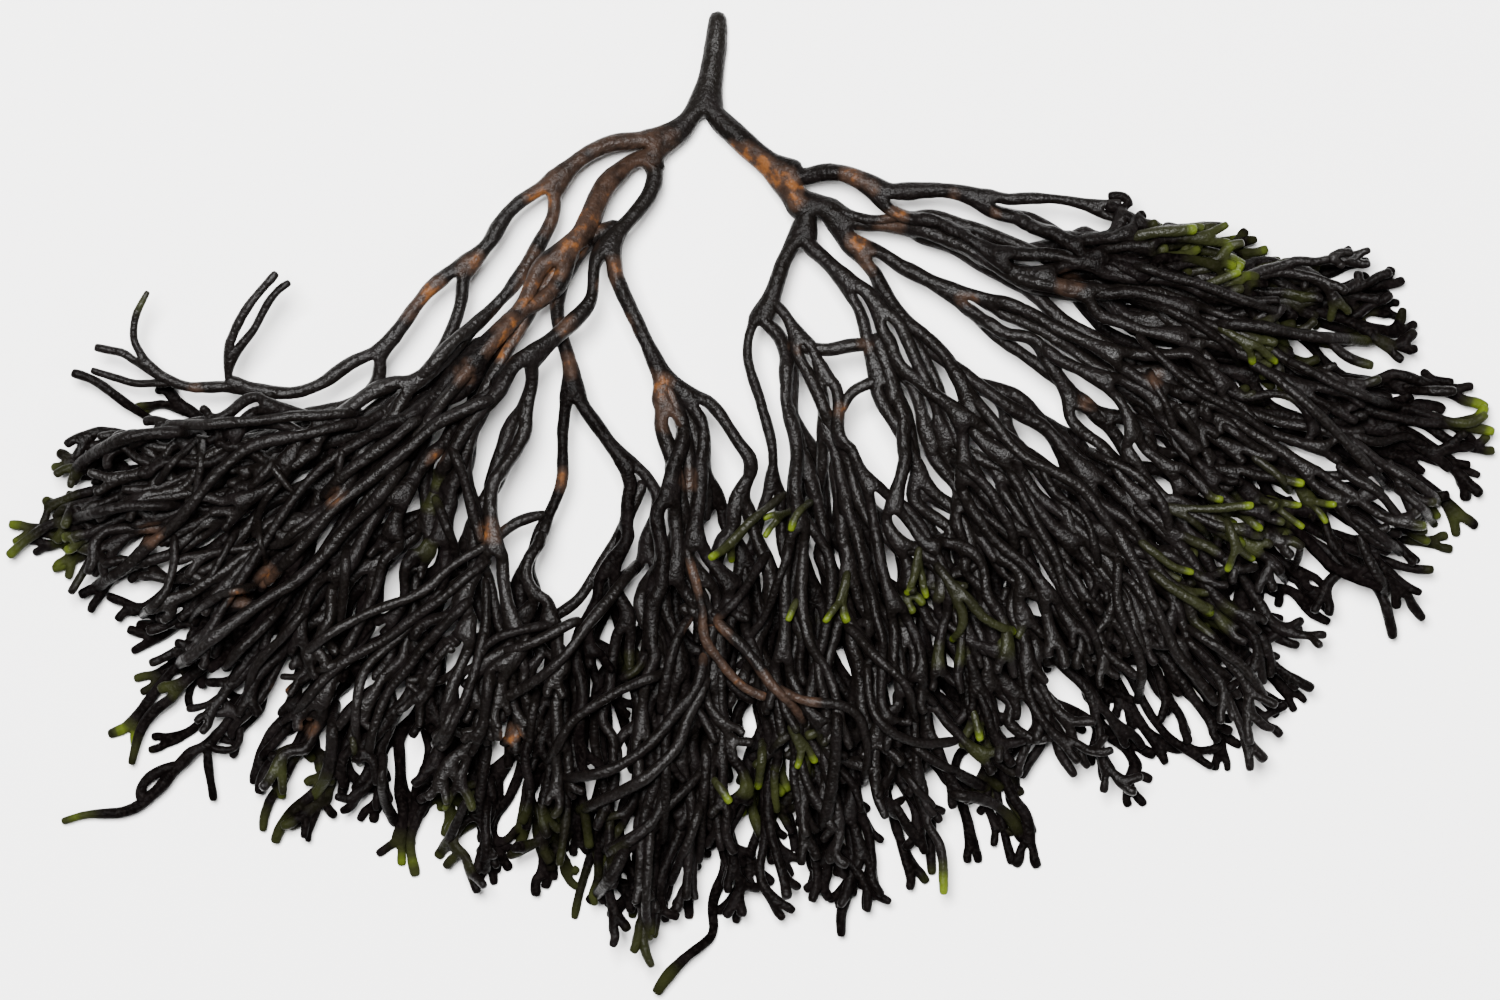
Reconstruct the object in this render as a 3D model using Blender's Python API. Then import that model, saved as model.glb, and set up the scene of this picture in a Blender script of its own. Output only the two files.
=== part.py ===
"""Codium seaweed: one dark thallus that forks again and again, cut at its stalk and laid down like a fan.

The stalk lies along +Y, the fan opens towards -Y, and the weed rests on z = 0. All sizes are in metres.
The limbs near the stalk follow routes drawn on a plan grid. From their ends the thinner strands grow by one
rule: a strand forks in two, each branch leaves at an angle and turns back towards the tips that it leads to.
"""

import math
import random

import bpy
import bmesh
from mathutils import Quaternion, Vector

MM = 0.001
NAME = "thallus"
COLLECTION = "codium_seaweed"

# The plan grid that the limbs and tips are drawn on: u runs to +X, v to -Y, 150 by 100 steps in all
PLAN_STEP = 2.4 * MM
PLAN_MIDDLE = (74.9, 49.85)

# Limbs: name: (limb it grows from, radius at its base and at its end in mm,
#               [(plan u, plan v, height of the centre line in mm), ...])
LIMBS = {
    "stalk": (None, 2.5, 2.9, [
        (71.7, 0.9, 1.6), (71.6, 3.2, 1.8), (71.2, 6.4, 2.7), (70.7, 9.2, 4.0), (70.4, 10.6, 4.6)]),
    "left_stem": ("stalk", 2.75, 2.64, [(68.7, 12.3, 5.4), (66.9, 13.6, 6.2), (65.3, 14.5, 7.0)]),
    "right_stem": ("stalk", 2.6, 3.4, [
        (73.0, 13.0, 5.6), (75.6, 15.4, 7.0), (77.6, 17.0, 8.0), (79.2, 18.2, 8.6)]),
    "left_neck": ("left_stem", 2.53, 2.42, [(64.5, 15.6, 7.5)]),
    "left_arch": ("left_stem", 2.09, 2.2, [
        (62.4, 14.1, 8.0), (59.6, 14.9, 9.0), (57.0, 16.7, 9.8), (55.0, 18.9, 10.5)]),
    "left_high": ("left_arch", 1.87, 1.98, [
        (52.4, 19.9, 11.5), (50.4, 21.9, 12.0), (48.8, 24.5, 12.5), (46.1, 27.2, 13.0)]),
    "left_rim": ("left_high", 1.76, 1.87, [
        (43.5, 28.5, 13.5), (41.5, 30.9, 14.0), (39.8, 33.3, 14.0), (37.9, 35.4, 14.0)]),
    "rim_crest": ("left_rim", 1.65, 1.65, [
        (35.3, 36.2, 14.5), (32.7, 38.1, 14.5), (29.8, 39.2, 14.0), (26.2, 39.0, 14.0), (23.2, 38.3, 14.0)]),
    "upper_prong": ("rim_crest", 1.26, 1.21, [(23.1, 37.0, 15.5), (23.6, 35.0, 17.0)]),
    "upper_prong_left": ("upper_prong", 1.16, 0.99, [
        (24.3, 32.4, 19.0), (25.8, 29.9, 20.0), (28.1, 27.3, 20.5)]),
    "upper_prong_right": ("upper_prong", 1.16, 0.99, [
        (25.6, 33.2, 18.0), (26.8, 30.9, 19.0), (28.0, 29.2, 19.5), (29.4, 28.2, 20.0)]),
    "left_prong": ("rim_crest", 1.43, 1.32, [(19.6, 38.7, 13.5), (16.6, 37.7, 13.0), (14.4, 36.0, 13.0)]),
    "left_prong_high": ("left_prong", 1.16, 0.94, [
        (13.7, 34.0, 13.8), (13.9, 31.6, 15.0), (15.2, 29.1, 16.0)]),
    "left_prong_low": ("left_prong", 1.16, 0.99, [(12.6, 35.2, 12.5), (10.8, 34.9, 12.0), (9.7, 34.6, 12.0)]),
    "left_inner_rim": ("left_rim", 1.76, 1.65, [
        (38.2, 37.3, 13.0), (37.0, 39.3, 12.0), (34.4, 40.6, 11.0), (30.5, 41.3, 10.5)]),
    "left_second": ("left_high", 1.76, 1.76, [
        (46.3, 29.8, 13.0), (45.1, 33.4, 13.0), (43.2, 36.7, 13.0), (40.6, 39.0, 13.0), (36.6, 41.6, 12.5)]),
    "left_third": ("left_arch", 1.87, 1.76, [
        (55.5, 21.1, 11.0), (54.2, 24.0, 12.0), (52.2, 27.4, 13.5), (50.0, 30.2, 15.0), (46.8, 33.3, 17.0),
        (43.0, 37.0, 19.0)]),
    "brown_stem": ("left_neck", 2.3, 2.7, [
        (62.3, 16.8, 8.5), (60.4, 18.7, 10.0), (59.3, 21.2, 12.0), (58.4, 23.8, 13.5)]),
    "brown_reach": ("brown_stem", 2.5, 1.9, [
        (56.4, 26.2, 15.0), (54.0, 28.8, 17.0), (51.4, 31.8, 19.0), (48.4, 35.2, 21.0), (45.5, 39.0, 22.5)]),
    "outlier": ("brown_reach", 1.54, 1.21, [
        (40.0, 46.0, 21.0), (34.0, 54.0, 17.0), (28.6, 63.0, 12.0), (24.2, 70.2, 8.0), (20.6, 74.6, 6.0)]),
    "outlier_end": ("outlier", 1.9, 1.0, [
        (18.0, 76.2, 5.0), (15.6, 79.0, 4.0), (12.6, 81.0, 3.0), (8.8, 81.2, 2.5), (6.1, 82.0, 2.0)]),
    "outlier_side": ("outlier", 1.2, 1.1, [(20.9, 76.8, 5.0), (21.4, 79.9, 3.5)]),
    "inner_drop": ("brown_stem", 1.87, 1.98, [
        (56.7, 26.8, 13.2), (55.7, 30.0, 13.0), (56.1, 33.4, 13.5), (57.1, 36.6, 14.0), (57.3, 39.6, 14.0)]),
    "drop_left": ("inner_drop", 1.65, 1.54, [
        (56.4, 41.7, 13.5), (56.3, 44.8, 13.0), (56.2, 48.2, 12.5), (54.8, 51.5, 12.0)]),
    "drop_right": ("inner_drop", 1.65, 1.65, [
        (59.0, 41.5, 14.0), (61.0, 44.2, 14.0), (63.0, 46.6, 14.5), (65.2, 48.4, 15.0)]),
    "loop_stem": ("left_neck", 2.09, 2.09, [
        (65.5, 17.6, 8.0), (64.7, 19.8, 9.5), (62.8, 22.1, 11.5), (61.2, 23.9, 13.5), (60.6, 25.3, 14.5)]),
    "loop_return": ("loop_stem", 1.9, 2.2, [
        (59.9, 28.2, 16.0), (59.0, 30.4, 16.8), (57.6, 31.9, 18.0), (55.4, 33.9, 19.0), (52.9, 36.0, 20.5)]),
    "return_high": ("loop_return", 2.0, 1.8, [(50.4, 38.2, 21.5), (47.6, 41.6, 22.5), (45.0, 46.0, 23.0)]),
    "return_fall": ("loop_return", 1.9, 1.7, [
        (53.4, 37.8, 18.5), (52.4, 41.4, 17.0), (50.4, 45.0, 16.0), (49.2, 48.6, 15.5), (49.2, 52.4, 15.5)]),
    "centre_drop": ("loop_stem", 1.98, 2.09, [
        (61.8, 28.2, 16.5), (63.4, 31.6, 16.5), (65.0, 35.0, 17.0), (66.5, 38.1, 17.5)]),
    "centre_left": ("centre_drop", 2.2, 2.0, [(66.7, 40.8, 18.0), (67.0, 44.0, 18.5), (67.6, 47.5, 19.5)]),
    "centre_right": ("centre_drop", 1.76, 1.76, [(69.3, 39.9, 17.0), (72.0, 42.3, 17.0), (74.7, 45.3, 17.5)]),
    "right_arch": ("right_stem", 1.98, 2.09, [
        (80.8, 17.6, 9.6), (82.6, 17.2, 10.8), (84.6, 17.5, 12.0), (86.7, 18.5, 13.0), (88.2, 19.6, 13.5)]),
    "right_rim": ("right_arch", 1.98, 1.98, [(91.6, 19.1, 14.0), (95.2, 19.2, 14.5), (98.6, 20.3, 15.0)]),
    "rim_runner": ("right_rim", 1.43, 1.32, [(102.4, 19.9, 15.5), (106.2, 20.1, 15.5), (109.6, 20.9, 15.0)]),
    "rim_runner_high": ("rim_runner", 1.1, 0.99, [(110.7, 20.5, 15.3), (111.8, 20.3, 15.5)]),
    "rim_runner_low": ("rim_runner", 1.21, 1.21, [
        (111.4, 21.8, 15.0), (113.0, 23.3, 15.0), (116.0, 23.6, 15.5), (119.0, 23.3, 16.0)]),
    "rim_inner": ("right_rim", 1.65, 1.65, [(101.4, 21.6, 15.0), (104.4, 23.0, 15.0), (107.6, 24.6, 15.0)]),
    "right_rim_low": ("right_arch", 1.87, 1.76, [
        (88.9, 21.1, 13.5), (91.2, 21.6, 13.0), (94.4, 22.1, 12.5), (97.8, 23.1, 12.5), (101.6, 24.6, 13.0)]),
    "right_neck": ("right_stem", 3.2, 2.7, [(80.3, 19.3, 9.0), (81.2, 20.5, 9.3)]),
    "right_second": ("right_neck", 2.5, 2.42, [(82.8, 21.6, 9.6), (84.4, 22.6, 10.0)]),
    "right_middle": ("right_second", 1.98, 1.87, [
        (87.6, 22.4, 10.5), (91.0, 23.0, 11.0), (94.4, 24.2, 11.5), (97.6, 26.2, 12.0), (101.2, 28.3, 13.0)]),
    "right_third": ("right_second", 2.31, 2.2, [(85.6, 23.6, 10.5), (86.6, 25.2, 11.0)]),
    "right_lower": ("right_third", 1.87, 1.76, [(89.2, 26.3, 12.0), (92.6, 28.0, 13.0), (95.9, 29.7, 13.5)]),
    "right_lower_high": ("right_lower", 1.65, 1.65, [
        (99.2, 30.4, 14.5), (102.4, 32.1, 16.0), (105.2, 33.9, 17.5)]),
    "right_lower_low": ("right_lower", 1.65, 1.65, [
        (97.8, 31.9, 13.0), (101.0, 34.6, 13.0), (104.6, 37.2, 13.5)]),
    "right_deep": ("right_third", 1.98, 1.87, [
        (87.8, 28.4, 12.5), (89.8, 31.8, 14.0), (92.8, 34.8, 16.0), (96.4, 37.6, 18.0), (100.3, 40.4, 20.0)]),
    "down_stem": ("right_neck", 2.09, 2.2, [(80.5, 22.2, 9.5), (80.0, 24.0, 10.0)]),
    "down_left": ("down_stem", 2.0, 2.0, [
        (78.4, 25.8, 11.0), (77.5, 28.4, 12.0), (76.7, 30.6, 12.5), (75.9, 31.9, 13.0)]),
    "down_left_outer": ("down_left", 1.32, 1.43, [
        (74.7, 33.8, 13.0), (74.9, 36.8, 13.0), (76.0, 40.2, 13.0), (77.0, 44.0, 13.5)]),
    "down_left_inner": ("down_left", 1.76, 1.76, [
        (77.8, 33.5, 14.0), (78.7, 35.9, 15.0), (78.8, 39.0, 16.0), (79.2, 42.6, 17.0)]),
    "down_right": ("down_stem", 1.87, 1.87, [(82.4, 26.0, 12.5), (85.1, 28.8, 15.0)]),
    "down_right_high": ("down_right", 1.76, 1.76, [(88.0, 31.6, 17.0), (90.6, 34.8, 18.5), (92.6, 38.7, 20.0)]),
    "down_right_drop": ("down_right", 1.54, 1.76, [
        (86.0, 31.6, 15.5), (86.7, 34.6, 16.0), (87.9, 38.0, 17.0), (89.6, 42.4, 18.5)]),
}

# Strands that leave one limb partway along it and may meet another: name: (radii in mm, route as above)
SIDE_STRANDS = {
    "left_prong_under": (1.16, 0.99, [
        (17.6, 38.2, 13.0), (15.6, 38.2, 12.0), (13.9, 38.3, 11.0), (11.5, 37.6, 10.5), (9.3, 36.9, 10.0)]),
    "small_loop": (1.43, 1.76, [
        (76.9, 29.9, 12.4), (78.4, 31.4, 14.5), (79.8, 34.0, 16.0), (80.9, 37.4, 17.5), (82.3, 41.0, 18.5)]),
    "bridge": (1.65, 1.65, [(79.3, 34.5, 15.4), (82.4, 35.0, 16.3), (84.8, 34.5, 16.5), (86.8, 34.4, 16.0)]),
    "curl": (1.65, 1.21, [(87.9, 37.8, 17.0), (86.2, 38.5, 17.5), (84.7, 39.4, 17.5), (83.9, 41.2, 18.0)]),
    "loop_web": (2.4, 2.4, [(62.2, 22.4, 11.2), (60.4, 23.2, 11.8), (57.8, 24.4, 12.2)]),
    "arch_closer": (1.65, 1.54, [(83.4, 20.9, 9.8), (85.4, 21.8, 11.0), (87.6, 22.0, 12.2), (89.8, 21.7, 13.2)]),
    "broad_web": (1.98, 1.76, [(87.2, 33.2, 16.2), (88.2, 35.6, 16.8), (88.9, 38.0, 17.4), (89.3, 40.6, 18.0)]),
    "brown_second": (2.3, 1.7, [
        (57.8, 24.8, 13.4), (55.4, 27.6, 14.6), (53.2, 30.8, 16.0), (50.6, 35.6, 18.2), (47.8, 40.4, 19.6)]),
    "centre_bundle": (2.1, 1.5, [
        (66.3, 37.6, 16.6), (68.3, 40.8, 15.8), (69.7, 44.4, 15.5), (70.4, 48.2, 16.0), (70.4, 52.0, 15.0)]),
    "centre_inner": (2.1, 1.65, [
        (66.4, 38.0, 17.4), (68.0, 41.6, 17.6), (68.8, 45.4, 17.4), (68.9, 49.4, 17.0), (68.6, 53.6, 16.0)]),
    "return_middle": (1.9, 1.65, [
        (49.0, 40.0, 21.8), (47.0, 44.0, 20.4), (46.9, 48.0, 19.0), (47.8, 51.8, 17.4), (48.2, 55.6, 15.6)]),
    "gap_hook": (1.43, 1.43, [(54.9, 51.2, 12.1), (52.6, 51.7, 12.5), (50.6, 52.8, 13.4), (49.2, 54.2, 14.0)]),
    "gap_rim": (1.65, 1.43, [
        (64.4, 47.8, 14.8), (62.2, 52.8, 14.0), (60.0, 56.4, 13.0), (57.6, 60.0, 12.2), (54.4, 62.0, 11.5),
        (51.2, 64.6, 10.0)]),
    "right_web": (2.0, 1.65, [
        (100.4, 27.6, 12.7), (103.2, 29.4, 14.0), (105.6, 31.8, 15.0), (109.2, 33.8, 15.5), (113.2, 36.4, 16.0)]),
    "deep_left": (1.9, 1.65, [
        (90.0, 32.2, 14.2), (92.6, 36.6, 16.4), (94.2, 40.6, 17.6), (95.8, 44.6, 17.6), (98.0, 48.4, 17.0)]),
    "outlier_lobe": (1.54, 1.54, [(18.0, 76.2, 5.0), (15.7, 77.0, 4.4), (14.1, 78.4, 4.0), (14.3, 80.2, 3.6)]),
    "outlier_hook": (1.32, 1.21, [(20.8, 74.4, 6.0), (22.6, 74.9, 6.0), (24.0, 74.3, 6.5), (24.1, 72.4, 7.5)]),
}

# Tips along the fan's rim that the spray at a limb's end reaches, in order round the rim: (plan u, plan v)
RIMS = {
    "left_inner_rim": [(14.8, 41.6), (5.4, 45.9), (5.6, 47.3), (9.5, 47.6)],
    "left_second": [(4.3, 49.2), (5.3, 51.3), (1.2, 52.4), (0.8, 55.5), (7.6, 53.9)],
    "left_third": [(4.9, 56.2), (7.2, 59.2), (8.3, 60.1), (11.2, 61.6), (13.4, 64.6), (15.0, 66.2)],
    "brown_reach": [(13.6, 68.7), (11.8, 74.0), (13.1, 76.3), (20.5, 72.0)],
    "return_high": [(23.3, 75.1), (26.5, 78.2), (28.9, 77.6), (26.2, 83.0), (27.4, 84.2), (33.0, 79.5)],
    "return_fall": [(34.1, 81.0), (36.8, 82.3), (40.2, 83.8), (43.3, 81.0), (41.5, 87.5), (44.8, 87.7)],
    "drop_left": [(44.6, 83.0), (48.6, 88.3), (50.0, 87.3), (53.9, 87.6), (54.1, 89.6)],
    "drop_right": [(55.4, 85.2), (57.3, 91.8), (61.1, 91.5), (63.3, 91.2)],
    "centre_left": [(63.4, 94.2), (65.2, 96.4), (66.5, 92.0), (71.3, 93.2), (68.6, 90.9), (72.9, 90.7)],
    "centre_right": [(71.0, 80.0), (73.4, 87.0), (75.0, 88.8), (76.5, 84.0)],
    "down_left_outer": [(77.8, 92.0), (78.4, 89.6), (79.4, 85.0)],
    "down_left_inner": [(84.0, 93.5), (84.5, 90.7), (85.1, 89.4), (86.4, 89.6)],
    "small_loop": [(91.2, 88.8), (94.2, 89.2), (92.0, 85.0), (97.6, 86.0), (103.3, 86.1)],
    "down_right_drop": [(99.0, 81.0), (101.5, 77.2), (104.0, 73.8), (106.3, 76.0), (107.2, 77.5)],
    "down_right_high": [(108.4, 73.0), (111.3, 78.9), (115.3, 78.3), (117.8, 74.0), (120.9, 76.7), (122.7, 76.9)],
    "right_deep": [(125.7, 76.3), (127.3, 73.5), (130.2, 70.3), (129.6, 68.8), (126.0, 64.0)],
    "right_lower_low": [
        (131.9, 64.2), (132.8, 62.0), (133.2, 60.8), (136.6, 57.4), (138.4, 57.6), (141.8, 59.2), (143.1, 56.8)],
    "right_lower_high": [(144.7, 54.7), (147.3, 52.6), (148.1, 49.1), (147.3, 47.5)],
    "right_middle": [(149.1, 44.8), (149.1, 42.6), (143.0, 41.6), (139.4, 38.8)],
    "right_rim_low": [(141.0, 36.6), (141.2, 32.5), (140.2, 30.3), (140.0, 27.9), (138.9, 27.1)],
    "rim_inner": [(132.4, 28.3), (132.0, 29.2), (130.6, 26.2), (124.7, 25.2), (124.7, 23.6), (119.5, 25.5)],
}

# Tips of the rim whose strand goes on along a drawn course: tip: [(plan u, plan v, height in mm), ...]
TRAILS = {
    (14.8, 41.6): [(12.4, 40.0, 8.0), (9.8, 38.0, 9.0), (7.3, 37.1, 9.0)],
    (71.3, 93.2): [(69.6, 94.6, 5.0), (68.0, 95.9, 4.5), (66.5, 97.6, 4.0), (65.4, 99.2, 3.5)],
    (136.6, 57.4): [(137.8, 59.2, 8.0), (138.6, 61.6, 6.0), (139.1, 63.7, 4.0)],
    (138.4, 57.6): [(140.0, 59.6, 9.0), (142.1, 61.8, 7.0)],
    (143.0, 41.6): [(145.2, 42.2, 9.0), (147.0, 42.2, 8.5), (148.3, 41.2, 8.0)],
    (139.4, 38.8): [(142.4, 39.0, 9.0), (145.3, 39.0, 9.0)],
}

# A second spray leaves each of these limbs inside the fan, upwards, at this share of the limb's route
SIDE_LIFT = 0.5
SIDE_SPRAYS = {
    "left_second": 0.8,
    "left_third": 0.8,
    "brown_reach": 0.2,
    "return_high": 0.3,
    "return_fall": 0.3,
    "drop_left": 0.9,
    "drop_right": 0.7,
    "centre_left": 0.3,
    "centre_right": 0.3,
    "down_left_inner": 0.5,
    "small_loop": 0.6,
    "down_right_drop": 0.8,
    "down_right_high": 0.4,
    "right_deep": 0.35,
    "right_lower_low": 0.4,
    "right_lower_high": 0.4,
    "right_middle": 0.4,
    "right_rim_low": 0.4,
    "rim_inner": 0.4,
}

# Gaps that stay open between the limbs: (plan u, plan v, radius in plan steps)
GAPS = [
    (53.1, 47.6, 2.3),
    (51.9, 55.0, 1.0),
    (55.6, 57.0, 2.5),
    (59.6, 51.0, 2.7),
    (59.4, 46.6, 1.8),
    (39.6, 57.4, 1.1),
    (49.8, 42.4, 1.2),
    (71.6, 34.0, 3.0),
    (73.4, 46.8, 1.2),
    (72.8, 51.4, 1.1),
    (87.5, 42.5, 2.4),
    (89.2, 47.5, 2.0),
    (85.5, 53.8, 1.1),
    (93.2, 52.5, 1.6),
    (99.8, 58.0, 1.6),
    (89.2, 57.2, 0.9),
    (94.8, 55.2, 1.0),
    (99.6, 35.2, 0.9),
    (102.2, 37.8, 1.4),
    (104.5, 40.0, 1.8),
    (61.6, 61.0, 0.8),
    (22.5, 72.0, 1.0),
    (88.8, 69.4, 0.8),
    (90.2, 66.0, 0.6),
    (94.8, 66.0, 0.8),
    (95.5, 70.4, 0.9),
    (99.8, 70.4, 0.8),
    (75.0, 71.6, 1.2),
    (73.6, 78.2, 0.7),
    (42.5, 33.5, 1.3),
    (40.9, 36.0, 0.9),
    (35.8, 38.0, 0.8),
    (48.9, 32.6, 0.4),
    (47.9, 34.3, 0.4),
    (54.2, 32.4, 0.7),
    (53.2, 34.8, 0.8),
    (57.6, 28.6, 1.1),
    (54.4, 41.4, 1.3),
    (43.9, 40.2, 0.4),
    (10.6, 46.3, 0.9),
    (12.7, 45.9, 1.1),
    (14.8, 45.5, 0.9),
    (16.6, 43.9, 0.5),
    (8.6, 49.5, 0.9),
    (18.4, 46.8, 1.3),
    (22.3, 45.7, 0.8),
    (18.4, 59.8, 0.8),
    (105.4, 21.0, 0.8),
    (109.6, 22.4, 1.0),
    (112.5, 25.2, 0.7),
    (120.6, 25.3, 0.7),
    (105.0, 26.6, 0.6),
    (107.0, 27.6, 0.9),
    (109.4, 29.0, 0.5),
    (109.9, 30.6, 0.6),
    (113.2, 30.6, 0.9),
    (102.6, 34.8, 0.7),
    (105.4, 36.0, 0.6),
    (91.9, 36.6, 0.5),
    (95.4, 38.9, 0.5),
    (97.9, 43.8, 0.6),
    (107.4, 39.5, 0.5),
    (110.0, 41.1, 0.5),
    (111.8, 43.8, 0.5),
    (123.8, 38.4, 0.9),
    (121.3, 42.0, 0.7),
    (130.3, 35.6, 1.1),
    (134.8, 35.2, 1.0),
    (126.5, 27.7, 0.6),
]

# Notches in the fan's rim, in the same way
NOTCHES = [
    (25.2, 73.0, 1.5),
    (29.6, 76.2, 1.1),
    (32.5, 82.8, 1.1),
    (36.8, 79.6, 0.7),
    (40.3, 80.8, 0.9),
    (42.6, 83.2, 1.3),
    (46.0, 79.8, 0.8),
    (46.9, 83.4, 1.3),
    (50.5, 82.6, 1.2),
    (53.2, 86.0, 1.2),
    (54.6, 79.6, 0.9),
    (58.8, 87.0, 1.3),
    (61.8, 89.6, 0.8),
    (67.4, 93.4, 1.6),
    (74.6, 83.4, 1.5),
    (76.2, 86.2, 0.8),
    (74.8, 89.8, 1.0),
    (83.5, 87.6, 1.3),
    (85.0, 84.0, 1.6),
    (89.0, 87.2, 1.6),
    (94.6, 83.4, 1.3),
    (94.2, 85.9, 0.8),
    (98.2, 82.6, 0.9),
    (100.8, 84.8, 1.0),
    (96.8, 76.5, 1.4),
    (104.3, 75.6, 1.5),
    (108.4, 73.4, 1.1),
    (112.0, 76.0, 1.2),
    (11.4, 54.6, 1.3),
    (8.4, 55.5, 1.1),
    (5.8, 55.2, 0.8),
    (14.6, 58.8, 1.5),
    (15.6, 65.4, 1.0),
    (134.0, 26.6, 2.0),
    (137.2, 31.4, 0.8),
    (139.4, 37.1, 0.5),
    (146.4, 39.8, 1.2),
    (143.2, 40.5, 0.6),
    (134.2, 59.2, 1.6),
    (135.4, 62.4, 2.1),
    (127.6, 64.6, 1.1),
    (130.6, 66.4, 1.6),
    (143.4, 55.8, 0.7),
    (143.6, 58.4, 0.8),
    (102.6, 78.0, 1.7),
    (102.4, 75.4, 1.2),
    (144.6, 34.6, 3.0),
    (148.0, 37.4, 2.4),
    (137.6, 35.4, 0.8),
]

# Round stretches of bare ground that bound the fan from outside, in the same way
GROUND = [
    (119.0, 9.2, 13.2),
    (131.5, 17.0, 8.6),
    (137.0, 22.6, 3.0),
    (155.2, 37.2, 7.0),
    (30.0, 34.0, 4.0),
    (36.0, 31.6, 3.4),
    (1.2, 45.4, 3.4),
    (8.2, 42.4, 1.8),
    (2.8, 50.8, 1.6),
    (0.4, 48.8, 2.8),
    (0.0, 62.0, 4.6),
    (57.4, 96.4, 3.0),
    (61.0, 98.4, 3.6),
    (70.6, 98.8, 3.2),
    (77.0, 95.4, 3.4),
    (28.6, 88.0, 3.4),
    (24.0, 80.2, 1.8),
    (36.0, 87.8, 2.4),
    (89.6, 94.4, 2.8),
    (107.4, 83.6, 3.6),
    (136.0, 70.4, 3.6),
    (148.6, 62.4, 3.4),
    (105.2, 79.4, 1.4),
]
GAP_MARGIN = 1.2 * MM

# Tips inside the fan, over and under those of the rim: how many for each tip of the rim, the shares of
# the way out at which they end, their heights in mm, and how far their strands bulge upwards in mm
END_DEPTHS = [
    (0.7, (0.72, 0.94), (1.5, 5.0), -6.0),
    (0.7, (0.62, 0.92), (8.0, 16.0), 4.0),
]
SIDE_DEPTHS = [
    (0.7, (0.50, 0.86), (4.0, 12.0), -2.0),
    (1.0, (0.42, 0.84), (14.0, 26.0), 9.0),
]
RIM_HEIGHTS = (-3.0, 12.0)

# The neighbours of a tip: how many, how far apart, how far back the next one ends in mm
RIM_NEIGHBOURS = (0, 1, 2)
INNER_NEIGHBOURS = (1, 1, 2)
NEIGHBOUR_SPREAD = (4.5 * MM, 8.0 * MM)
NEIGHBOUR_STEP_BACK = 4.0
NEIGHBOUR_HEIGHT = 2.5
RIM_NEIGHBOURS_BACK = 1.5
SAME_SIDE_CHANCE = 0.35

# Most strands end in two short prongs that stand well apart, and some prongs fork once more
FORKED_TIPS = 0.78
FORKED_PRONGS = 0.28
PRONG_LENGTHS = (4.0 * MM, 6.8 * MM)
PRONG_SHARES = (0.75, 1.1)
PRONG_ANGLES = (24, 44)
PRONG_TILT = 30
PRONG_BEND = 0.5
PRONG_REACH = 0.8
LEAST_STEM = 3.0 * MM

# The least height of a strand's centre line, in radii: what lies on the surface is a little flattened
REST_HEIGHT = 0.72

# Above the first height strands lie closer on one another, and none has its centre line above the second
CLOSE_HEIGHT = 15.0 * MM
CLOSENESS = 0.62
GREATEST_HEIGHT = 23.5 * MM

# Growth of a strand
TIP_RADIUS = 1.22 * MM
TIP_TAPER = (0.9, 1.12)
TIPS_OF_FULL_WIDTH = 9
WIDTH_POWER = 0.7
LEAST_STEP = (5.5 * MM, 8.0 * MM)
GREATEST_STEP = (10.0 * MM, 19.0 * MM)
NEAREST_TIP_SHARE = 0.62
GREATEST_SHIFT = 1.5
FORK_SHIFT = 0.2
FORK_LENGTHS = (0.9, 1.4)
FORK_ANGLES = (24, 42)
FORK_TILT = 22
FORK_CUT = (0.38, 0.62)
STRAND_BEND = 0.5
TIP_BEND = 0.9
WOBBLE = 0.3 * MM
SWAY = 9.0 * MM
RIM_SWAY = 6.0 * MM
SHORT_STRETCH = 9.0 * MM
BULGE_SCALE = 2.6
RIM_OVERLAP = 0.12

# Sprays at the fan's two edges bend inwards only and open later: limb: (least sway, greatest sway)
EDGE_SWAY = {
    "left_inner_rim": (0.0, 1.0),
    "left_second": (-0.4, 1.0),
    "left_third": (0.1, 1.0),
    "right_rim_low": (-1.0, 0.1),
    "rim_inner": (-0.9, -0.1),
}
EDGE_OPENING = {"left_inner_rim": 0.8, "right_rim_low": 0.75, "rim_inner": 0.95}
OPENING = (0.45, 0.85)

# How much of the growth these solids hold: one strand to each tip of the rim, and a few of those inside
KEPT_INSIDE = 0.05
STRAND_TOLERANCE = 1.7 * MM
SIDES = 3
SECTION_TURN = 90
SECTION_RADIUS = math.sqrt(math.pi / (0.5 * SIDES * math.sin(2 * math.pi / SIDES)))

# The block that cuts what lies on the surface flat, and the edges so short that only a union leaves them
GROUND_SIZE = (0.5, 0.4, 0.1)
SLIVER = 0.002 * MM


class Run:
    """A stretch of strand from one fork to the next, or to a tip."""

    def __init__(self, point, radius, is_limb=False):
        self.points = [point]
        self.radii = [radius]
        self.forks = []
        self.is_limb = is_limb
        self.kept = is_limb

    def add(self, point, radius):
        height = point.z
        if height > CLOSE_HEIGHT and not self.is_limb:
            height = min(CLOSE_HEIGHT + (height - CLOSE_HEIGHT) * CLOSENESS, GREATEST_HEIGHT)
        self.points.append(Vector((point.x, point.y, max(height, radius * REST_HEIGHT))))
        self.radii.append(radius)


class Aim:
    """Where a tip ends, how its strand bulges up and sideways, whether it is kept, and where it goes on to."""

    def __init__(self, point, rise, sway, kept, trail=()):
        self.point = point
        self.rise = rise
        self.sway = sway
        self.kept = kept
        self.trail = trail


def at(u, v, height):
    """A point of the plan grid, at a height in mm."""
    return Vector(((u - PLAN_MIDDLE[0]) * PLAN_STEP, (PLAN_MIDDLE[1] - v) * PLAN_STEP, height * MM))


def flat(vector):
    return Vector((vector.x, vector.y, 0.0))


def mean(values):
    values = list(values)
    return sum(values) / len(values)


def middle(aims):
    return sum((aim.point for aim in aims), Vector()) / len(aims)


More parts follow.
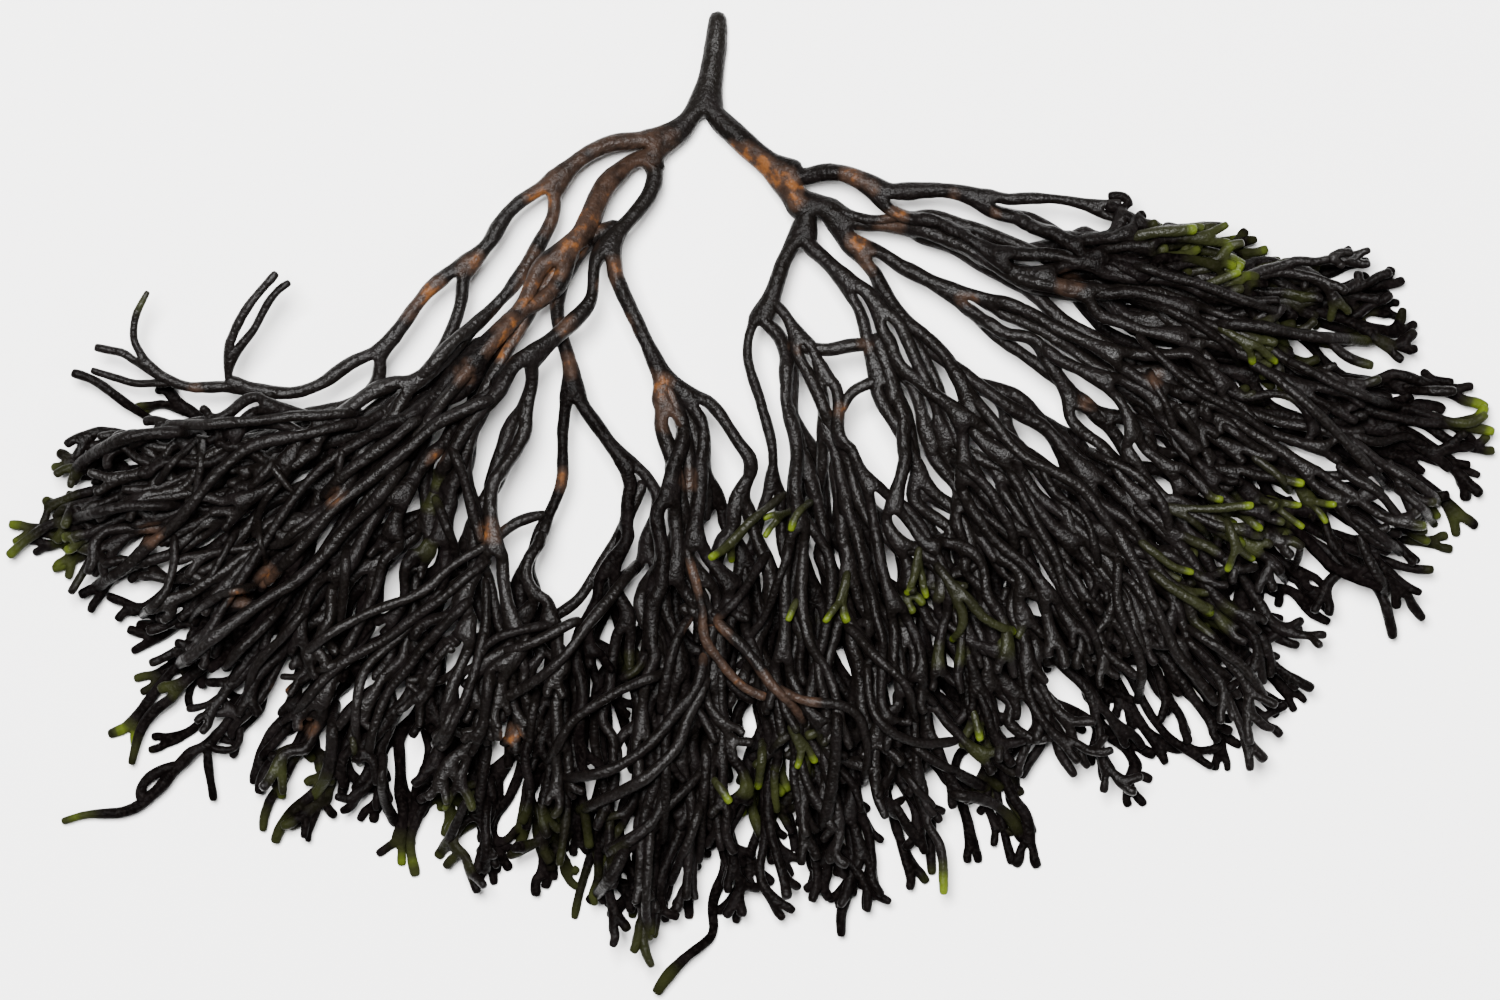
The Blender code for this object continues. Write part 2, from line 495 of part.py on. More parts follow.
def clear_of_gaps(point):
    """Moves a point out of the gaps that stay open, and off the bare ground round the fan."""
    for u, v, radius in GAPS + NOTCHES + GROUND:
        centre = at(u, v, point.z / MM)
        away = point - centre
        reach = radius * PLAN_STEP + GAP_MARGIN
        if away.length < reach:
            point = centre + away.normalized() * reach
    return point


def bow(start, leaving, end, arriving, share):
    """A point of the smooth curve that leaves and arrives in the directions given."""
    reach = (end - start).length
    squared, cubed = share**2, share**3
    return (
        (2 * cubed - 3 * squared + 1) * start
        + (cubed - 2 * squared + share) * reach * leaving
        + (3 * squared - 2 * cubed) * end
        + (cubed - squared) * reach * arriving
    )


def bell(out):
    """A swelling from 0 to 0 that is 1 about a third of the way out."""
    return BULGE_SCALE * math.sqrt(max(out, 0.0)) * max(1.0 - out, 0.0)


class Spray:
    """All the strands that grow from one place on a limb."""

    def __init__(self, base, radius, opening, aims, rng):
        self.base = base
        self.radius = radius
        self.opening = opening
        self.rng = rng
        self.along = flat(middle(aims) - base).normalized()
        self.side = Vector((-self.along.y, self.along.x, 0.0))

    def width(self, tips):
        """The radius of a strand that leads to so many tips."""
        share = min(1.0, math.log(max(tips, 1), TIPS_OF_FULL_WIDTH)) ** WIDTH_POWER
        return TIP_RADIUS + (self.radius - TIP_RADIUS) * share

    def forward(self, point):
        return (point - self.base).dot(self.along)

    def sideways(self, point):
        return (point - self.base).dot(self.side)

    def place(self, aims, forward):
        """Where the strand to these aims passes at a distance forward from the base."""
        goal = middle(aims)
        out = min(forward / max(self.forward(goal), MM), 1.0)
        across = self.sideways(goal) * out**self.opening + mean(aim.sway for aim in aims) * bell(out)
        rise = mean(aim.rise for aim in aims) * MM * bell(out)
        point = self.base + self.along * forward + self.side * across
        point.z = self.base.z + (goal.z - self.base.z) * out + rise
        return point

    def lay(self, run, leaving, end, arriving, radius):
        """Adds the points of a curved stretch to a run."""
        start, first_radius = run.points[-1], run.radii[-1]
        short = (end - start).length < SHORT_STRETCH
        for share in (0.3, 0.65) if short else (0.2, 0.4, 0.6, 0.8):
            point = bow(start, leaving, end, arriving, share)
            point += Vector([self.rng.uniform(-WOBBLE, WOBBLE) for _ in range(3)])
            run.add(clear_of_gaps(point), first_radius + (radius - first_radius) * share)
        run.add(end, radius)

    def next_fork(self, here, onward, aims, spread):
        """Where a strand forks next on its way to several aims."""
        goal = middle(aims)
        step = (goal - here).length - spread * self.rng.uniform(*FORK_LENGTHS)
        if len(aims) > 3:
            step = min(step, self.rng.uniform(*GREATEST_STEP))
        nearest = min((aim.point - here).length for aim in aims)
        step = min(max(step, self.rng.uniform(*LEAST_STEP)), NEAREST_TIP_SHARE * nearest)
        shift = self.place(aims, self.forward(here) + step * max(onward.dot(self.along), 0.5)) - here
        if shift.length > GREATEST_SHIFT * step:
            shift *= GREATEST_SHIFT * step / shift.length
        across = Vector((-onward.y, onward.x, 0.0)).normalized()
        fork = clear_of_gaps(here + shift + across * self.rng.uniform(-FORK_SHIFT, FORK_SHIFT) * step)
        fork.z = max(fork.z, TIP_RADIUS)
        return fork

    def grow(self, run, heading, aims):
        """Grows a strand from the end of a run to its aims, forking in two until one aim is left."""
        rng = self.rng
        here = run.points[-1]
        onward = (middle(aims) - here).normalized()
        across = Vector((-onward.y, onward.x, 0.0)).normalized()
        if len(aims) == 1:
            self.end(run, heading, onward, across, aims[0])
            return
        wide = [self.sideways(aim.point) + 0.5 * aim.sway for aim in aims]
        deep = [1.4 * aim.point.z + 0.5 * aim.rise * MM for aim in aims]
        wide_spread, deep_spread = max(wide) - min(wide), max(deep) - min(deep)
        fork = self.next_fork(here, onward, aims, max(wide_spread, deep_spread))
        arriving = (fork - here).normalized().lerp(onward, 0.4)
        arriving = (arriving + across * rng.uniform(-STRAND_BEND, STRAND_BEND)).normalized()
        self.lay(run, heading, fork, arriving, self.width(len(aims)))
        by_side = wide_spread >= deep_spread * rng.uniform(0.7, 1.25)
        fork_way = self.side if by_side else Vector((0.0, 0.0, 1.0))
        keys = wide if by_side else deep
        order = sorted(range(len(aims)), key=lambda i: keys[i])
        cut = min(max(round(len(aims) * rng.uniform(*FORK_CUT)), 1), len(aims) - 1)
        tilt = Quaternion(arriving, math.radians(rng.gauss(0, FORK_TILT)))
        turn = tilt @ (fork_way - arriving * fork_way.dot(arriving)).normalized()
        lean = math.tan(math.radians(rng.uniform(*FORK_ANGLES)))
        for places, sign in ((order[:cut], -1), (order[cut:], 1)):
            group = [aims[i] for i in places]
            branch = Run(run.points[-1].copy(), self.width(max(len(group), 1.3)))
            run.forks.append(branch)
            self.grow(branch, (arriving + turn * sign * lean).normalized(), group)


    def end(self, run, heading, onward, across, aim):
        """Ends a strand in a plain tip, or in prongs."""
        rng = self.rng
        arriving = (onward + across * rng.uniform(-TIP_BEND, TIP_BEND)).normalized()
        length = rng.uniform(*PRONG_LENGTHS)
        times = 2 if rng.random() < FORKED_PRONGS else 1
        stem = (aim.point - run.points[-1]).length - PRONG_REACH * length * times
        if rng.random() > FORKED_TIPS or stem < LEAST_STEM or aim.trail:
            self.lay(run, heading, aim.point, arriving, TIP_RADIUS * rng.uniform(*TIP_TAPER))
            for place in aim.trail:
                run.add(at(*place), run.radii[-1])
            run.kept = aim.kept
            return
        fork = clear_of_gaps(run.points[-1] + onward * stem)
        fork.z = max(fork.z, TIP_RADIUS)
        self.lay(run, heading, fork, arriving, TIP_RADIUS * rng.uniform(*TIP_TAPER))
        self.add_prongs(run, arriving, across, length, times, aim.kept)

    def add_prongs(self, run, way, across, length, times, kept):
        """Two short prongs at the end of a run, of which the first forks again as many times as are left."""
        rng = self.rng
        tilt = Quaternion(way, math.radians(rng.gauss(0, PRONG_TILT)))
        turn = tilt @ (across - way * across.dot(way)).normalized() * rng.choice((-1, 1))
        for sign in (1, -1):
            lean = math.tan(math.radians(rng.uniform(*PRONG_ANGLES)))
            leaving = (way + turn * sign * lean).normalized()
            arriving = (leaving + turn * rng.uniform(-PRONG_BEND, PRONG_BEND)).normalized()
            prong = Run(run.points[-1].copy(), run.radii[-1])
            run.forks.append(prong)
            reach = length * rng.uniform(*PRONG_SHARES)
            tip = clear_of_gaps(run.points[-1] + leaving * reach)
            self.lay(prong, leaving, tip, arriving, TIP_RADIUS * rng.uniform(*TIP_TAPER))
            if sign > 0 and times > 1:
                self.add_prongs(prong, arriving, turn, length, times - 1, kept)
            else:
                prong.kept = kept
            kept = False


def neighbours(aim, base, rng, count, back):
    """The tips beside a tip: each next one stands further off and ends further back."""
    out = flat(aim.point - base).normalized()
    side = Vector((-out.y, out.x, 0.0)) * rng.choice((-1, 1))
    beside = []
    for i in range(1, count + 1):
        inwards = rng.uniform(back, back + NEIGHBOUR_STEP_BACK * i) * MM
        offset = side * rng.uniform(*NEIGHBOUR_SPREAD) * i**0.5 - out * inwards
        offset.z = rng.uniform(-NEIGHBOUR_HEIGHT, NEIGHBOUR_HEIGHT) * MM
        beside.append(Aim(clear_of_gaps(aim.point + offset), aim.rise, aim.sway, False))
        side = side if rng.random() < SAME_SIDE_CHANCE else -side
    return beside


def rim_aims(name, base, rng):
    """The aims of a limb's spray along the rim of the fan."""
    aims = []
    sway = EDGE_SWAY.get(name, (-1.0, 1.0))
    for u, v in RIMS[name]:
        place = at(u, v, rng.uniform(*RIM_HEIGHTS))
        aims.append(Aim(place, 0.0, rng.uniform(*sway) * RIM_SWAY, True, TRAILS.get((u, v), ())))
        aims += neighbours(aims[-1], base, rng, rng.choice(RIM_NEIGHBOURS), RIM_NEIGHBOURS_BACK)
    return aims


def rim_point(name, share):
    """A point at a share of the way round a limb's part of the rim, or a little past its ends."""
    rim = [at(u, v, 0.0) for u, v in RIMS[name]]
    place = min(max(share, 0.0), 1.0) * (len(rim) - 1)
    first = min(int(place), len(rim) - 2)
    point = rim[first].lerp(rim[first + 1], place - first)
    if share < 0.0 and name != "left_inner_rim":
        point += (rim[0] - rim[-1]) * -share
    if share > 1.0 and name != "rim_inner":
        point += (rim[-1] - rim[0]) * (share - 1.0)
    return point


def inner_aims(name, depths, base, rng):
    """The aims of a limb's spray inside the fan."""
    aims = []
    sway = EDGE_SWAY.get(name, (-1.0, 1.0))
    for density, reaches, heights, rise in depths:
        count = round(density * len(RIMS[name]))
        for i in range(count):
            share = (i + rng.uniform(0.1, 0.9)) / count
            place = rim_point(name, share + RIM_OVERLAP * (2.0 * share - 1.0))
            place = flat(base).lerp(place, rng.uniform(*reaches))
            place.z = rng.uniform(*heights) * MM
            place = clear_of_gaps(place)
            kept = rng.random() < KEPT_INSIDE
            aims.append(Aim(place, rise, rng.uniform(*sway) * SWAY, kept))
            aims += neighbours(aims[-1], base, rng, rng.choice(INNER_NEIGHBOURS), 0.0)
    return aims


def draw_limb(parent, first, last, route):
    """A limb as one run along its route, from the end of its parent where it has one."""
    start = parent.points[-1].copy() if parent else at(*route[0])
    run = Run(start, first * MM, True)
    rest = route if parent else route[1:]
    for i, place in enumerate(rest, 1):
        run.add(at(*place), (first + (last - first) * i / len(rest)) * MM)
    if parent:
        parent.forks.append(run)
    return run


def split(limb, place):
    """Cuts a limb in two runs at one of its points, so that a spray can leave it there."""
    rest = Run(limb.points[place].copy(), limb.radii[place], True)
    rest.points = [point.copy() for point in limb.points[place:]]
    rest.radii = limb.radii[place:]
    rest.forks = limb.forks
    limb.points = limb.points[:place + 1]
    limb.radii = limb.radii[:place + 1]
    limb.forks = [rest]


def add_spray(name, limb, aims, rng, lift=0.0):
    """Grows a spray from a limb's end."""
    opening = EDGE_OPENING.get(name) or rng.uniform(*OPENING)
    spray = Spray(limb.points[-1], limb.radii[-1], opening, aims, rng)
    branch = Run(limb.points[-1].copy(), limb.radii[-1])
    limb.forks.append(branch)
    heading = (limb.points[-1] - limb.points[-2]).normalized() + Vector((0.0, 0.0, lift))
    spray.grow(branch, heading.normalized(), aims)


def grow_thallus():
    """Every run of the thallus, as the runs that the others grow from."""
    limbs = {}
    for name, (parent, first, last, route) in LIMBS.items():
        limbs[name] = draw_limb(limbs.get(parent), first, last, route)
    for name, (first, last, route) in SIDE_STRANDS.items():
        limbs[name] = draw_limb(None, first, last, route)
    for name in RIMS:
        limb = limbs[name]
        rng = random.Random(name)
        base = limb.points[-1]
        add_spray(name, limb, rim_aims(name, base, rng) + inner_aims(name, END_DEPTHS, base, rng), rng)
    for name, share in SIDE_SPRAYS.items():
        limb = limbs[name]
        rng = random.Random(name + " side")
        place = max(1, round(share * (len(limb.points) - 1)))
        if place < len(limb.points) - 1:
            split(limb, place)
        add_spray(name, limb, inner_aims(name, SIDE_DEPTHS, limb.points[-1], rng), rng, SIDE_LIFT)
    return [limbs["stalk"]] + [limbs[name] for name in SIDE_STRANDS]


def pruned(run):
    """The run without the branches that lead to no kept tip, or None where nothing is kept."""
    run.forks = [fork for fork in map(pruned, run.forks) if fork]
    return run if run.kept or run.forks else None


def thinned(stretch):
    """The fewest points that keep a strand's course within the tolerance."""
    start, end = stretch[0][0], stretch[-1][0]
    course = end - start
    gaps = [0.0]
    for point, _ in stretch[1:-1]:
        share = min(max((point - start).dot(course) / max(course.length_squared, 1e-12), 0.0), 1.0)
        gaps.append((point - start - course * share).length)
    if max(gaps) < STRAND_TOLERANCE:
        return [stretch[0], stretch[-1]]
    place = gaps.index(max(gaps))
    return thinned(stretch[:place + 1])[:-1] + thinned(stretch[place:])


def strands(run):
    """Every unbroken strand from a fork to a tip, as a list of (point, radius)."""
    strand = []
    stretch = []
    while True:
        stretch += zip(run.points, run.radii)
        if len(run.forks) == 1:
            run = run.forks[0]
            continue
        strand += thinned(stretch)[len(strand) > 0:]
        stretch = []
        if not run.forks:
            break
        forks = sorted(run.forks, key=lambda fork: fork.radii[-1], reverse=True)
        for fork in forks[1:]:
            yield from strands(fork)
        run = forks[0]
    yield strand


def section_object(collection):
    """The triangle that every strand has for its section, of the area of a circle of radius 1."""
    curve = bpy.data.curves.new("section", "CURVE")
    spline = curve.splines.new("POLY")
    spline.points.add(SIDES - 1)
    spline.use_cyclic_u = True
    for i, knot in enumerate(spline.points):
        turn = math.radians(SECTION_TURN) + 2 * math.pi * i / SIDES
        knot.co = (SECTION_RADIUS * math.cos(turn), SECTION_RADIUS * math.sin(turn), 0.0, 1.0)
    section = bpy.data.objects.new("section", curve)
    collection.objects.link(section)
    return section


def strand_object(strand, section, collection):
    """A tube along a strand, as a closed mesh."""
    curve = bpy.data.curves.new("strand", "CURVE")
    curve.dimensions = "3D"
    curve.twist_mode = "Z_UP"
    curve.bevel_mode = "OBJECT"
    curve.bevel_object = section
    curve.use_fill_caps = True
    spline = curve.splines.new("POLY")
    spline.points.add(len(strand) - 1)
    for knot, (point, radius) in zip(spline.points, strand):
        knot.co = (*point, 1.0)
        knot.radius = radius
    tube = bpy.data.objects.new("strand", curve)
    collection.objects.link(tube)
    bpy.context.view_layer.update()
    evaluated = tube.evaluated_get(bpy.context.evaluated_depsgraph_get())
    mesh = bpy.data.meshes.new_from_object(evaluated)
    solid = bpy.data.objects.new("strand", mesh)
    solid.matrix_world = tube.matrix_world
    bpy.data.objects.remove(tube)
    weld(mesh)
    collection.objects.link(solid)
    return solid


def weld(mesh):
    """Closes a tube's caps and turns its faces outwards."""
    shape = bmesh.new()
    shape.from_mesh(mesh)
    bmesh.ops.remove_doubles(shape, verts=shape.verts, dist=0.01 * MM)
    bmesh.ops.recalc_face_normals(shape, faces=shape.faces)
    shape.to_mesh(mesh)
    shape.free()


def apply_modifiers(solid):
    """Keeps the evaluated mesh and drops the modifiers."""
    bpy.context.view_layer.update()
    evaluated = solid.evaluated_get(bpy.context.evaluated_depsgraph_get())
    solid.data = bpy.data.meshes.new_from_object(evaluated)
    solid.modifiers.clear()


def join_strands(solid, collection):
    """Joins all the strands of a collection to one solid, and removes them."""
    union = solid.modifiers.new("union", "BOOLEAN")
    union.operation = "UNION"
    union.operand_type = "COLLECTION"
    union.collection = collection
    union.solver = "MANIFOLD"
    apply_modifiers(solid)
    for strand in list(collection.objects):
        bpy.data.objects.remove(strand)
    bpy.data.collections.remove(collection)


def largest_body(mesh):
    """Drops loose scraps and the walls of sealed hollows, and keeps the thallus itself."""
    shape = bmesh.new()
    shape.from_mesh(mesh)
    bmesh.ops.triangulate(shape, faces=shape.faces)
    bmesh.ops.dissolve_degenerate(shape, edges=shape.edges, dist=SLIVER)
    unseen = set(shape.faces)
    bodies = []
    while unseen:
        body = {unseen.pop()}
        front = list(body)
        while front:
            for edge in front.pop().edges:
                inside_one_body = len(edge.link_faces) == 2
                for face in edge.link_faces:
                    if inside_one_body and face in unseen:
                        unseen.remove(face)
                        body.add(face)
                        front.append(face)
        bodies.append(body)
    bodies.sort(key=len)
    scraps = [face for body in bodies[:-1] for face in body]
    bmesh.ops.delete(shape, geom=scraps, context="FACES")
    shape.to_mesh(mesh)
    shape.free()


def rest_on_ground(solid, cutters):
    """Cuts the lowest strands flat where they lie on the surface."""
    bpy.ops.mesh.primitive_cube_add(size=1.0, location=(0.0, 0.0, -0.5 * GROUND_SIZE[2]))
    ground = bpy.context.active_object
    ground.name = "ground_cutter"
    ground.scale = GROUND_SIZE
    for collection in list(ground.users_collection):
        collection.objects.unlink(ground)
    cutters.objects.link(ground)
    ground.hide_render = True
    ground.display_type = "WIRE"
    cut = solid.modifiers.new("ground", "BOOLEAN")
    cut.operation = "DIFFERENCE"
    cut.object = ground
    cut.solver = "MANIFOLD"
    apply_modifiers(solid)


def weed_material():
    """Damp, felted, near-black tissue with a purplish cast."""
    material = bpy.data.materials.new("weed")
    material.use_nodes = True
    shader = material.node_tree.nodes["Principled BSDF"]
    shader.inputs["Base Color"].default_value = (0.016, 0.013, 0.012, 1.0)
    shader.inputs["Roughness"].default_value = 0.5
    shader.inputs["Metallic"].default_value = 0.0
    return material


def build():
    for item in list(bpy.data.objects):
        bpy.data.objects.remove(item)
    parts = bpy.data.collections.new(COLLECTION)
    cutters = bpy.data.collections.new("cutters")
    strand_collection = bpy.data.collections.new("strands")
    for collection in (parts, cutters, strand_collection):
        bpy.context.scene.collection.children.link(collection)
    section = section_object(cutters)
    solids = []
    for root in grow_thallus():
        root = pruned(root)
        for strand in strands(root):
            solids.append(strand_object(strand, section, strand_collection))
    bpy.data.objects.remove(section)
    thallus = solids[0]
    strand_collection.objects.unlink(thallus)
    parts.objects.link(thallus)
    thallus.name = NAME
    join_strands(thallus, strand_collection)
    rest_on_ground(thallus, cutters)
    largest_body(thallus.data)
    thallus.data.name = NAME
    thallus.data.materials.clear()
    thallus.data.materials.append(weed_material())


build()
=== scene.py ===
"""The finished looks of the codium seaweed: its whole growth, round and webbed at the forks.

The weed lies on z = 0 with its stalk to +Y, and the camera looks straight down on it. Sizes are in metres.
The strands grow by the same seeded rule as those of the solid part, which has fewer of them. The strands and
green shoots that show on top are then laid on the finished pile.
"""

import math
import random
from bisect import bisect

import bmesh
import bpy
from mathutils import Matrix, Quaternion, Vector, noise
from mathutils.bvhtree import BVHTree


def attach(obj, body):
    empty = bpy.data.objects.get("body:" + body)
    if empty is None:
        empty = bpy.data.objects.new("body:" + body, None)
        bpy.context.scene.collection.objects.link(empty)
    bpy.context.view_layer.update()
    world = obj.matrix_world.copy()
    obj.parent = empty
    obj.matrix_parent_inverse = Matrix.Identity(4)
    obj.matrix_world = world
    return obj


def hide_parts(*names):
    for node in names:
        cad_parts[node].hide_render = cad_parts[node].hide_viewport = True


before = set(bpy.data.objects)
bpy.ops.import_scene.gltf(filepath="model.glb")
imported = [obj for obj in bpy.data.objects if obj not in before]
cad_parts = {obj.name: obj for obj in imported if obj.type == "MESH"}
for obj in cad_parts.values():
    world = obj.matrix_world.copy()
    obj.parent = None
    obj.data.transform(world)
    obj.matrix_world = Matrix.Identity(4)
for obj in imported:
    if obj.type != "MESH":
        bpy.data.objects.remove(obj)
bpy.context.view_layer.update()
bpy.ops.object.select_all(action="DESELECT")

MM = 0.001
NAME = "thallus"

# The plan grid that the limbs and tips are drawn on: u runs to +X, v to -Y, 150 by 100 steps in all
PLAN_STEP = 2.4 * MM
PLAN_MIDDLE = (74.9, 49.85)

